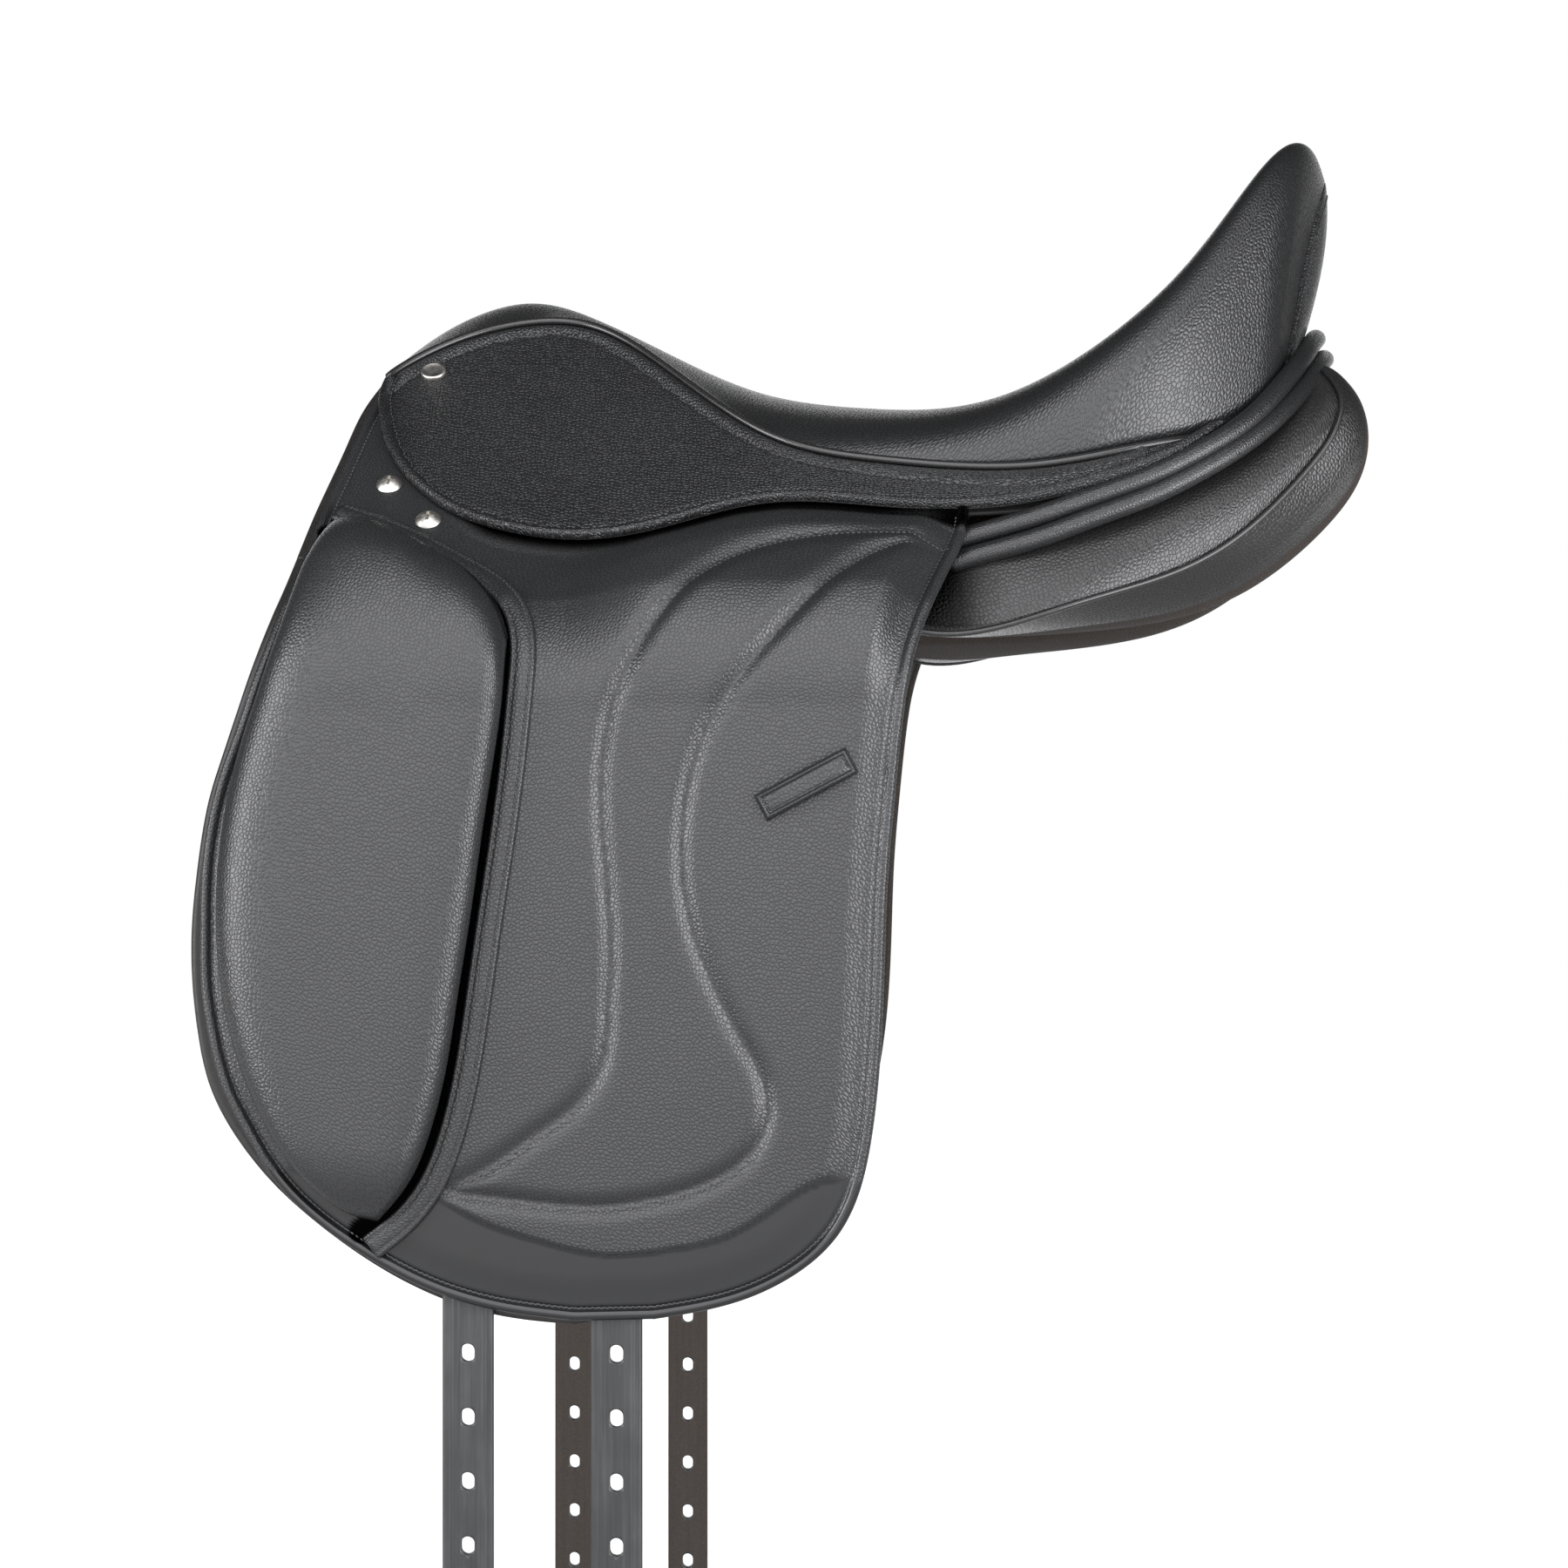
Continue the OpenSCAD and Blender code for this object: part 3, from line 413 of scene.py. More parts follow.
def strapFinish(name, look):
    # bridle butt: fine streaks along the strap's length on the grain side, brown flesh side
    material, tree, shader, place = startMaterial(name)
    skin = addNode(tree, "ShaderNodeAttribute", attribute_name="skin").outputs["Vector"]
    inner = mapRange(tree, addNode(tree, "ShaderNodeSeparateXYZ", {0: skin}).outputs["Z"], 0.4, 0.6)
    drawn = addNode(tree, "ShaderNodeMapping", {"Vector": place, "Scale": (1.0, 1.0, 0.03)}).outputs[0]
    streak = addNode(tree, "ShaderNodeTexNoise", {"Vector": drawn, "Scale": 420.0, "Detail": 5.0, "Roughness": 0.7})
    blotch = addNode(tree, "ShaderNodeTexNoise", {"Vector": place, "Scale": 60.0, "Detail": 4.0})
    tone = mathNode(tree, "MULTIPLY", mapRange(tree, streak.outputs["Fac"], 0.3, 0.7), mapRange(
        tree, blotch.outputs["Fac"], 0.3, 0.7, 0.5, 1.0))
    top = mixColour(tree, tone, look["colour"], look["worn"])
    tree.links.new(mixColour(tree, inner, top, fleshSide(tree, place)), shader.inputs["Base Color"])
    rough = mathNode(tree, "MULTIPLY_ADD", inner, 0.35)
    tree.links.new(mapRange(tree, streak.outputs["Fac"], 0.3, 0.7, look["rough"] + 0.12, look["rough"], "LINEAR"),
                   rough.node.inputs[2])
    tree.links.new(rough, shader.inputs["Roughness"])
    bump = addNode(tree, "ShaderNodeBump", {"Strength": look["bump"], "Distance": 0.0002,
                                            "Height": streak.outputs["Fac"]})
    tree.links.new(bump.outputs["Normal"], shader.inputs["Normal"])
    shader.inputs["Specular IOR Level"].default_value = 0.6
    return material


def grainedLeather(name, look):
    # pebbled hide: darker creases, a little cloud in its tone, and gloss on the tops of the cells
    material, tree, shader, place = startMaterial(name)
    grain = addNode(tree, "ShaderNodeGroup", node_tree=pebbleGrain)
    skin = addNode(tree, "ShaderNodeAttribute", attribute_name="skin")
    tree.links.new(skin.outputs["Vector"], grain.inputs["Vector"])
    grain.inputs["Cells"].default_value = look["cells"]
    grain.inputs["Crease"].default_value = look.get("crease", 0.17)
    top = mixColour(tree, grain.outputs["Tone"], look["colour"], look["worn"])
    creases = grain.outputs["Creases"]
    if "plain" in look:
        plain = addNode(tree, "ShaderNodeAttribute", attribute_name="plain").outputs["Fac"]
        grained = mathNode(tree, "SUBTRACT", 1.0, plain)
        creases = mathNode(tree, "MULTIPLY", creases, grained)
        top = mixColour(tree, plain, top, look["plain"])
    colour = mixColour(tree, mathNode(tree, "MULTIPLY", creases, look["dark"]), top, look["pit"])
    mark = addNode(tree, "ShaderNodeSeparateXYZ", {0: skin.outputs["Vector"]}).outputs["Z"]
    inner = mapRange(tree, mark, 0.4, 0.6)
    colour = mixColour(tree, inner, colour, fleshSide(tree, place))
    # painted shade in deep gaps and under other parts: black and metallic, so it gives back hardly any light
    shade = mapRange(tree, mark, 0.0, -1.0)
    colour = mixColour(tree, shade, colour, grey(0.001))
    tree.links.new(shade, shader.inputs["Metallic"])
    tree.links.new(colour, shader.inputs["Base Color"])
    rough = mathNode(tree, "MULTIPLY_ADD", inner, 0.5)
    tree.links.new(mapRange(tree, creases, 0.0, 1.0, look["rough"], look["rough"] + 0.25, "LINEAR"),
                   rough.node.inputs[2])
    tree.links.new(rough, shader.inputs["Roughness"])
    shader.inputs["Specular IOR Level"].default_value = 0.6
    bump = addNode(tree, "ShaderNodeBump", {"Strength": look["bump"], "Distance": look.get("relief", 0.0002),
                                            "Height": grain.outputs["Height"]})
    if "plain" in look:
        tree.links.new(mathNode(tree, "MULTIPLY", grained, grain.outputs["Height"]), bump.inputs["Height"])
    tree.links.new(bump.outputs["Normal"], shader.inputs["Normal"])
    return material


def plainFinish(name, look):
    # smooth finish with a fine noise in its tone, gloss and height
    material, tree, shader, place = startMaterial(name)
    stretch = addNode(tree, "ShaderNodeMapping", {"Vector": place, "Scale": look.get("stretch", (1, 1, 1))})
    cloud = addNode(tree, "ShaderNodeTexNoise", {"Vector": stretch.outputs[0], "Scale": look["scale"], "Detail": 5.0,
                                                 "Roughness": 0.65})
    tone = mapRange(tree, cloud.outputs["Fac"], 0.3, 0.7, kind="LINEAR")
    colour = mixColour(tree, tone, look["colour"], look["worn"])
    tree.links.new(colour, shader.inputs["Base Color"])
    rough = mapRange(tree, cloud.outputs["Fac"], 0.3, 0.7, look["rough"], look["rough"] + look.get("roughRun", 0.15),
                     "LINEAR")
    tree.links.new(rough, shader.inputs["Roughness"])
    bump = addNode(tree, "ShaderNodeBump", {"Strength": look["bump"], "Distance": 0.0004,
                                            "Height": cloud.outputs["Fac"]})
    tree.links.new(bump.outputs["Normal"], shader.inputs["Normal"])
    shader.inputs["Metallic"].default_value = look.get("metal", 0.0)
    shader.inputs["Coat Weight"].default_value = look.get("coat", 0.0)
    return material


flapLeather = grainedLeather("flapLeather", dict(
    cells=530.0, colour=grey(0.021, -0.03), worn=grey(0.026, -0.03), pit=grey(0.003), dark=0.95, rough=0.25,
    bump=0.45, plain=grey(0.009, -0.03)))
seatLeather = grainedLeather("seatLeather", dict(
    cells=450.0, colour=grey(0.013, -0.03), worn=grey(0.018, -0.03), pit=grey(0.003), dark=0.95, rough=0.25,
    bump=0.5))
skirtLeather = grainedLeather("skirtLeather", dict(
    cells=520.0, colour=grey(0.014, -0.03), worn=grey(0.022, -0.03), pit=grey(0.002), dark=1.0, rough=0.26,
    bump=0.95, relief=0.00032))
rollLeather = grainedLeather("rollLeather", dict(
    cells=620.0, colour=grey(0.013, -0.03), worn=grey(0.019, -0.03), pit=grey(0.004), dark=0.8, rough=0.24,
    bump=0.4))
panelLeather = grainedLeather("panelLeather", dict(
    cells=480.0, colour=grey(0.012, 0.02), worn=grey(0.017, 0.02), pit=grey(0.003), dark=0.95, rough=0.27,
    bump=0.5))
calfLeather = plainFinish("calfLeather", dict(
    colour=grey(0.02), worn=grey(0.028), scale=900.0, rough=0.4, bump=0.12))
sweatLeather = plainFinish("sweatLeather", dict(
    colour=grey(0.012, 0.12), worn=grey(0.018, 0.12), scale=420.0, rough=0.42, bump=0.2))
pipingLeather = plainFinish("pipingLeather", dict(
    colour=grey(0.012), worn=grey(0.018), scale=700.0, rough=0.22, bump=0.08, coat=0.3))
strapLeather = strapFinish("strapLeather", dict(
    colour=grey(0.014, -0.03), worn=grey(0.045, -0.03), rough=0.36, bump=0.35))
threadBlack = plainFinish("threadBlack", dict(
    colour=grey(0.03), worn=grey(0.06), scale=1500.0, rough=0.36, bump=0.3))
nickel = plainFinish("nickel", dict(
    colour=(0.5, 0.48, 0.45, 1), worn=(0.58, 0.56, 0.52, 1), scale=300.0, rough=0.34, roughRun=0.12, bump=0.03,
    metal=1.0))
steel = plainFinish("steel", dict(
    colour=grey(0.35), worn=grey(0.5), scale=200.0, stretch=(0.2, 1, 1), rough=0.32, bump=0.06, metal=1.0))
beech = plainFinish("beech", dict(
    colour=(0.42, 0.26, 0.13, 1), worn=(0.55, 0.37, 0.2, 1), scale=110.0, stretch=(0.08, 1, 1), rough=0.5, bump=0.2))
webTape = plainFinish("webTape", dict(
    colour=(0.5, 0.46, 0.38, 1), worn=(0.62, 0.58, 0.5, 1), scale=1400.0, stretch=(1, 1, 0.5), rough=0.85,
    roughRun=0.1, bump=0.6))
print("materials made")

# seat: three lines front to back, and a fourth-power section through them

seatLook = dict(
    middle=[(235, 133), (235, 147), (213, 169.5), (174, 184.5), (138, 177), (100, 158.5), (52, 137), (0, 128),
            (-60, 127), (-122, 150), (-164, 193), (-193, 234), (-208, 252), (-219.5, 253), (-226, 243)],
    swell=[(234, 0.6, 131), (232.5, 0.6, 144.5), (207, 0.6, 165.5), (170, 0.6, 178), (136, 0.62, 169),
           (98, 0.66, 147.5), (50, 0.72, 123.5), (-2, 0.77, 115.5), (-61, 0.82, 121.5), (-118, 0.85, 154.5),
           (-156, 0.85, 192), (-182, 0.82, 225.5), (-199, 0.77, 239), (-210, 0.7, 234), (-215, 0.62, 212.5)],
    frontEdge=[(229, 133), (226, 141), (200, 158), (165, 168.5), (130, 165), (92, 140), (44, 106), (-8, 93)],
    backEdge=[(-70, 136, 89), (-122, 134, 97), (-157, 121, 104), (-178, 108, 112), (-187, 100, 119), (-193, 91, 127),
              (-196.5, 82, 135)],
    reach=0.6, rows=190, cols=111, sinkRim=2.5, sinkMiddle=15, sinkPower=0.7, sinkFront=0.2, sinkRear=(0.86, 0.16))


def seatEdge():
    # the seat's lower edge: on the skirt's layer in front, free behind
    p = np.array(seatLook["frontEdge"], float)
    return np.concatenate([onLayer(p[:, 0], p[:, 1], wall["skirt"]), np.array(seatLook["backEdge"], float)])


def seatLine(points, rows):
    # spline through points at even knots
    p = np.array(points, float)
    return splineAt(p, np.arange(len(p)), np.linspace(0, len(p) - 1, rows))


def seatSurface(rows, cols):
    # weights of middle, swell and edge are second-order in the square of the share across
    c, s, e = (seatLine(p, rows)[:, None] for p in (seatLook["middle"], seatLook["swell"], seatEdge()))
    t = np.linspace(1, -1, cols)[None]
    q, k = t * t, seatLook["reach"] ** 2
    wc, ws, we = (q - k) * (q - 1) / k, q * (q - 1) / (k * (k - 1)), q * (q - k) / (1 - k)
    hollow = (e[..., 1] - s[..., 1] * e[..., 1] / seatLook["reach"]) / (1 - k)
    return np.stack([wc * c[..., 0] + ws * s[..., 0] + we * e[..., 0], t * (e[..., 1] - hollow * (1 - q)),
                     wc * c[..., 1] + ws * s[..., 2] + we * e[..., 2]], -1)


def normalsOf(grid):
    # cross product of the steps down and across
    return unit(np.cross(np.gradient(grid, axis=0), np.gradient(grid, axis=1)))


seatTop = seatSurface(seatLook["rows"], seatLook["cols"])
seatOut = normalsOf(seatTop)
seatOut *= np.sign(seatOut[seatLook["rows"] // 2, seatLook["cols"] // 2, 2])
acrossSeat = np.linspace(1, -1, seatLook["cols"])[None] ** 2
alongSeat = np.linspace(0, 1, seatLook["rows"])[:, None]
sinkLast, sinkRun = seatLook["sinkRear"]
seatDepth = seatLook["sinkRim"] + (seatLook["sinkMiddle"] - seatLook["sinkRim"]) * (
    1 - acrossSeat) ** seatLook["sinkPower"] * (
    ease(alongSeat / seatLook["sinkFront"]) * ease((sinkLast - alongSeat) / sinkRun))
seatShape = slab(seatTop, seatTop - seatOut * seatDepth[..., None])
seat = addPiece("seat", seatShape, seatLeather)
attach(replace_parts(seat, "seat_cover", "seat_foam"), "saddle_body")

edgeLine = seatLine(seatEdge(), 400)
print("seat made")

# piping under the seat's edge, and the cantle's back

pipingLook = dict(size=3.8, below=1.8, out=0.5, ends=(0.012, 0.86), rings=260, sides=12, run=600, cap=3)


def pipingShape(path, up, look):
    # round cord with domed ends
    ring = ringProfile(look["size"], look["size"], look["sides"])
    return carried(path, ring, np.tile(up, (look["rings"], 1)), domeEnds(look["rings"], look["run"], look["cap"]))


pipingPath = (pathAt(edgeLine, np.linspace(*pipingLook["ends"], pipingLook["rings"]))
              + pipingLook["below"] * downSlope + pipingLook["out"] * outSlope)
for side, piece in bothSides("seatWelt", pipingShape(pipingPath, outSlope, pipingLook), pipingLeather):
    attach(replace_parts(piece, f"seat_welt_{side}"), "saddle_body")

cantleLook = dict(foot=[(-196, 82, 129), (-207, 48, 146), (-212, 0, 158)], bulge=5, bulgePower=0.85, fadePower=6,
                  fan=0.9, halfWide=78, thick=3, rows=40, drop=(-0.4, 0, -1.0))


def cantleSurface():
    # straight lines from the seat's last row to the foot, swelled backwards by a half sine
    look, cols = cantleLook, seatLook["cols"]
    top = seatTop[-1] + np.array(look["drop"])
    foot = curve(mirrored(look["foot"]), cols)
    v = np.linspace(0, 1, look["rows"])[:, None, None]
    face = top * (1 - v) + foot * v
    away = unit(np.stack([-np.ones(cols), look["fan"] * foot[:, 1] / look["halfWide"], np.zeros(cols)], -1))
    fade = 1 - np.linspace(-1, 1, cols)[None, :, None] ** look["fadePower"]
    return face + away[None] * look["bulge"] * np.sin(np.pi * v ** look["bulgePower"]) * fade, away


cantleFace, cantleAway = cantleSurface()
cantle = addPiece("cantleBack", slab(cantleFace, cantleFace - cantleAway[None] * cantleLook["thick"]), skirtLeather)
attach(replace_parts(cantle, "cantle_back"), "saddle_body")

rollLook = dict(
    upper=[(-36, 147, 52), (-50, 147, 56), (-76, 146.5, 63.5), (-103, 144, 73), (-131, 139.5, 83.5),
           (-153, 132.5, 95), (-176, 119, 110.5), (-192, 102, 127), (-205, 80, 143), (-213, 55, 154),
           (-219, 28, 161), (-221, 0, 163)],
    lower=[(-36, 151, 42), (-51, 150.5, 46.5), (-76, 149, 53.5), (-103, 146, 63.5), (-131, 140.5, 74.5),
           (-153, 133.5, 86), (-176, 121, 101), (-194, 104, 117), (-208, 81, 133), (-217, 55, 144.5),
           (-223, 28, 151), (-225, 0, 153)],
    size=9.6, flat=0.94, rings=280, sides=18, halfWide=155, back=-0.3, lift=0.6)


def rollShape(points):
    # oval cord whose upper side turns outwards at the sides and backwards behind the cantle
    look = rollLook
    path = curve(mirrored(points), look["rings"])
    side = path[:, 1] / look["halfWide"]
    up = unit(np.stack([look["back"] * (1 - side ** 2), side, np.full(len(path), look["lift"])], -1))
    run = np.linalg.norm(np.diff(path, axis=0), axis=1).sum()
    return carried(path, ringProfile(look["size"], look["size"] * look["flat"], look["sides"]), up,
                   domeEnds(look["rings"], run, look["size"] / 2))


for name, points, node in (("rearRollUpper", rollLook["upper"], "rear_roll_upper"),
                           ("rearRollLower", rollLook["lower"], "rear_roll_lower")):
    piece = addPiece(name, rollShape(points), rollLeather)
    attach(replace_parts(piece, node), "saddle_body")
print("cantle and rolls made")

# skirts: one sheet from the piping to the rolled lower edge

skirtLook = dict(
    low=[(230, 137), (231.5, 129), (229, 116), (223, 101), (213, 87), (201, 76), (186, 66.5), (159, 57.5), (133, 54),
         (107, 56), (82, 62.5), (58, 69.5), (37, 72.5), (14, 72), (-8, 70)],
    lowBack=[(-62, 148, 70), (-104, 145, 79), (-139, 139, 92.5), (-166, 121, 110)],
    fold=((219, 125), (44, 92)), foldRoom=(3, 14), thick=3, top=4.4, topEnds=(0.012, 0.8),
    band=7.5, bandHigh=1.7, bandPower=0.8, bandRoom=(3, 6), groove=0.8, grooveAt=1.3, grooveWide=0.9, grooveRun=5,
    roll=4.6, rollHigh=2.3, rows=46, cols=330,
    # the last five keys give the band of painted shade on the flap under the skirt's lower edge, by x
    shadeAtX=(-47, -9, 30, 69, 110, 170, 200), shadeWide=(9, 6, 5, 3, 2, 1, 0), shadeFade=(4, 4, 5, 7, 9, 9, 6),
    shadeFront=213, shadeEnd=(165, 30))


def skirtSurface():
    # ruled between its two edges; heights over it follow the distances to them
    look = skirtLook
    top = pathAt(edgeLine, np.linspace(*look["topEnds"], 400)) + look["top"] * downSlope
    p = np.array(look["low"], float)
    low = curve(np.concatenate([onLayer(p[:, 0], p[:, 1], wall["skirt"]), np.array(look["lowBack"])]), 500)
    u, v = np.linspace(0, 1, look["cols"]), crowded(look["rows"], 0.6)[:, None, None]
    face = pathAt(top, u)[None] * (1 - v) + pathAt(low, u)[None] * v
    fromTop, fromLow = distanceTo(face, top), distanceTo(face, low)
    rounding = edgeRound(fromLow, look["thick"])
    bead = beadAt(fromLow, look["roll"], look["rollHigh"])
    band = look["bandHigh"] * np.sin(np.pi * np.clip(fromTop / look["band"], 0, 1)) ** look["bandPower"]
    grooves = look["groove"] * (bellAt(fromLow - look["roll"] - look["grooveAt"], look["grooveWide"])
                                + bellAt(fromTop - look["band"], look["grooveWide"]))
    room = ease((fromLow - look["bandRoom"][0]) / look["bandRoom"][1])
    high = bead + band * room - grooves * ease(fromLow / look["grooveRun"]) - rounding
    outer = face + high[..., None] * outSlope
    inner = face - (look["thick"] - rounding)[..., None] * outSlope
    return face, outer, inner, top, low


def skirtBlend(piece, side):
    foldBlend(piece, side, "skirt", *skirtLook["fold"], wall["skirt"], skirtLook["foldRoom"])


skirtFace, skirtOuter, skirtInner, skirtTop, skirtLow = skirtSurface()
for side, piece in bothSides("skirtSheet", slab(skirtOuter, skirtInner), skirtLeather):
    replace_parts(piece, f"skirt_{side}", f"skirt_root_{side}")
    skirtBlend(piece, side)
print("skirts made")

# flaps: hanging sheet with padded facing, quilted stitch lines and a smooth toe below its seam

flapLook = dict(
    front=[(227, 138), (235, 122), (240, 103), (244, 85), (248, 67), (251, 50), (254.5, 33), (258.5, 16), (263, -1),
           (267.5, -16), (272, -30), (278, -46), (283, -62), (286.5, -79), (288.5, -97), (289, -120), (288.5, -145),
           (285, -168), (279, -190), (270, -208), (256, -230), (239, -247), (219, -261), (193, -275), (162, -285),
           (125, -290)],
    rear=[(-47, 74), (-46, 58), (-40, 43), (-32, 26), (-23.5, 3), (-18, -27), (-14, -65), (-11, -102),
          (-9.5, -143), (-7.5, -181), (-4, -211), (2, -236), (11, -253), (30, -270), (53, -281), (90, -289)],
    top=[(227, 138), (208, 122), (191, 98), (182, 84), (150, 83), (110, 83), (72, 83), (30, 84), (-8, 80), (-47, 74)],
    fold=((249, 51), (-33, 28)), foldRoom=(10, 16), thick=3.5, pad=2.8, padFrom=5.5, padRun=15,
    crest=10, crestZ=(-25, 54), crestX=(90, 45), padTop=24, cornerX=(115, 55), cornerZ=36,
    roll=4.6, rollHigh=1.3, grooveAt=5.6, groove=0.9, grooveWide=0.8, valley=0.8, valleyWide=1.0,
    dip=2.5, dipWide=3.8, toe=0.5, seamHalf=0.6, seamRun=1.8, rows=240, cols=196,
    lineA=[(-38, 47), (-4, 48), (34, 44), (56, 37), (79, 22), (96, 3), (107, -19), (112, -42), (113, -68),
           (111, -95), (109, -125), (110, -155), (113, -178), (123, -195), (140, -208), (162, -223), (183, -234)],
    lineB=[(-38, 47), (-11, 41), (19, 22), (41, 3), (60, -19), (71, -42), (77, -68), (78, -91), (75, -114),
           (66, -140), (53, -166), (43, -185), (41, -200), (47, -215), (62, -227), (87, -236), (117, -240),
           (147, -238), (183, -234)],
    seam=[(0, -228), (11, -227), (22, -230), (38, -240), (60, -253), (87, -259), (109, -261), (140, -255),
          (162, -248), (185, -236), (205, -224)])

flapFront, flapRear = curve(flapLook["front"], 500), curve(flapLook["rear"], 500)
flapTop = pathAt(np.array(flapLook["top"], float), np.linspace(0, 1, 300))
flapBottom = pathAt(np.stack([flapFront[-1], flapRear[-1]]), np.linspace(0, 1, 40))
flapBorder = np.concatenate([flapFront, flapBottom[1:-1], flapRear[::-1]])[::3]
lineA, lineB = curve(flapLook["lineA"], 160), curve(flapLook["lineB"], 180)
toeSeam = curve(flapLook["seam"], 120)


def underSkirt(spots):
    # 1 where the flap is padded, falling to 0 at the skirt's lower edge and in the corner above the knee block
    look, x, z = flapLook, spots[..., 0], spots[..., 1]
    low = np.array(skirtLook["low"][4:], float)[::-1]
    corner = ease((x - look["cornerX"][0]) / look["cornerX"][1]) * ease(z / look["cornerZ"])
    return ease((np.interp(x, low[:, 0], low[:, 1]) - z) / look["padTop"]) * (1 - corner)


def flapRelief(spots, edge):
    # padding that rises from the edge's stitched groove, valleys along the two quilted lines, and a low toe
    look, x, z = flapLook, spots[..., 0], spots[..., 1]
    gap = z - np.interp(x, toeSeam[:, 0], toeSeam[:, 1])
    above = ease((gap + look["seamHalf"]) / look["seamRun"])
    rise = ease((edge - look["padFrom"]) / look["padRun"]) * underSkirt(spots)
    near = np.minimum(distanceTo(spots, lineA), distanceTo(spots, lineB))
    (lowZ, runZ), (firstX, runX) = look["crestZ"], look["crestX"]
    crest = look["crest"] * ease((z - lowZ) / runZ) * (1 - ease((x - firstX) / runX))
    dips = look["dip"] * bellAt(near, look["dipWide"]), look["valley"] * bellAt(near, look["valleyWide"])
    pad = (look["pad"] + crest - dips[0] - dips[1]) * rise
    high = look["toe"] * rise + (pad - look["toe"] * rise) * above
    bead = beadAt(edge, look["roll"], look["rollHigh"])
    return high + bead - look["groove"] * bellAt(edge - look["grooveAt"], look["grooveWide"])


bandLook = dict(
    path=[(239, 64), (220, 57.5), (201, 49.5), (181, 39), (163, 28.5), (151.5, 16), (147.5, 2), (148, -15),
          (151, -44), (155.5, -78), (161, -114), (166.5, -152), (171.5, -183), (178, -209.5), (188, -233),
          (201.5, -249), (213, -258)],
    profile=[(-6, 0), (-5.9, 3.4), (-5.2, 4.9), (-4.2, 5.3), (-3.4, 4.6), (-2.6, 5.0), (-1.2, 5.2), (0, 5.25),
             (1.2, 5.2), (2.6, 5.0), (3.4, 4.6), (4.2, 5.2), (5.2, 4.8), (5.9, 3.2), (6, 0)],
    # the last three keys place the band of painted shade in the gap between welt and knee block
    stitchAt=3.3, stitchHigh=4.85, rings=230, gapAt=8.5, shadeHalf=6.5, shadeFade=2)
bandSpots = curve(bandLook["path"], bandLook["rings"])


def gapShade(spots):
    # painted shade: 1 on the flap in the narrow gap between welt and knee block, and in the gap under the skirt's
    # lower edge
    away = distanceTo(spots, offsetPath(bandSpots, bandLook["gapAt"]))
    beside = ease((bandLook["shadeHalf"] - away) / bandLook["shadeFade"])
    low, x = skirtLow[skirtLow[:, 0] < skirtLook["shadeFront"]][::-1], spots[..., 0]
    below = np.interp(x, low[:, 0], low[:, 2]) - spots[..., 1]
    wide, fade = (np.interp(x, skirtLook["shadeAtX"], skirtLook[k]) for k in ("shadeWide", "shadeFade"))
    ending = 1 - ease((x - skirtLook["shadeEnd"][0]) / skirtLook["shadeEnd"][1])
    return np.maximum(beside, ease((wide + fade - below) / fade) * ending)


flapSpots = patch(flapFront, flapRear, flapTop, flapBottom,
                  crowded(flapLook["cols"], 0.35), crowded(flapLook["rows"], 0.3))
flapEdge = distanceTo(flapSpots, flapBorder)
flapHigh = flapRelief(flapSpots, flapEdge) - edgeRound(flapEdge, flapLook["thick"])
flapOuter = onFlap(flapSpots[..., 0], flapSpots[..., 1], flapHigh)
flapInner = onFlap(flapSpots[..., 0], flapSpots[..., 1],
                   -flapLook["thick"] + edgeRound(flapEdge, flapLook["thick"]))


def markToe(piece):
    # 1 on the smooth leather below the toe's seam, 0 on the grained leather above it
    spots = np.empty(len(piece.data.vertices) * 3)
    piece.data.vertices.foreach_get("co", spots)
    x, z = spots[0::3] / mm, spots[2::3] / mm
    below = ease((np.interp(x, toeSeam[:, 0], toeSeam[:, 1]) - z) / 1.5)
    marks = piece.data.attributes.new("plain", "FLOAT", "POINT")
    marks.data.foreach_set("value", below.astype(np.float32))


def flapBlend(piece, side):
    foldBlend(piece, side, "flap", *flapLook["fold"], wall["top"], flapLook["foldRoom"])


flapShape = slab(flapOuter, flapInner)
# the flap's outer face carries painted shade beside the knee block and under the skirt's edge
flapShape[2][:flapHigh.size, 2] = -gapShade(flapSpots).ravel() / mm
for side, piece in bothSides("flapSheet", flapShape, flapLeather):
    markToe(piece)
    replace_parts(piece, f"flap_{side}", f"flap_top_{side}", f"flap_facing_{side}")
    flapBlend(piece, side)
print("flaps made")

# knee block: a soft wedge with a flat middle, a gentle front and a steep, undercut rear side

blockLook = dict(
    front=[(236, 57), (243, 37), (252, 10), (264, -23), (274, -57), (279, -88), (280, -122), (277, -151), (270, -178),
           (259, -203), (242, -227), (222, -244)],
    rear=[(153, 3), (153, -12), (156, -42), (161, -76), (166, -113), (172, -151), (177, -181), (184, -207),
          (194, -229), (206, -243), (210, -247)],
    top=[(236, 57), (219, 51), (200, 42.5), (181, 32), (167, 23), (157, 13), (153, 3)],
    high=24, base=0.4, frontPower=4.4, rearPower=5.5, frontRise=3.1, rearRise=4.2, undercut=0.07,
    topShare=0.1, tipShare=0.16, endPower=2.3, crest=11, crestZ=(-25, 60), shadeLift=(0.63, 0.25),
    shadeTop=(0.025, 0.015), rows=120, cols=80)


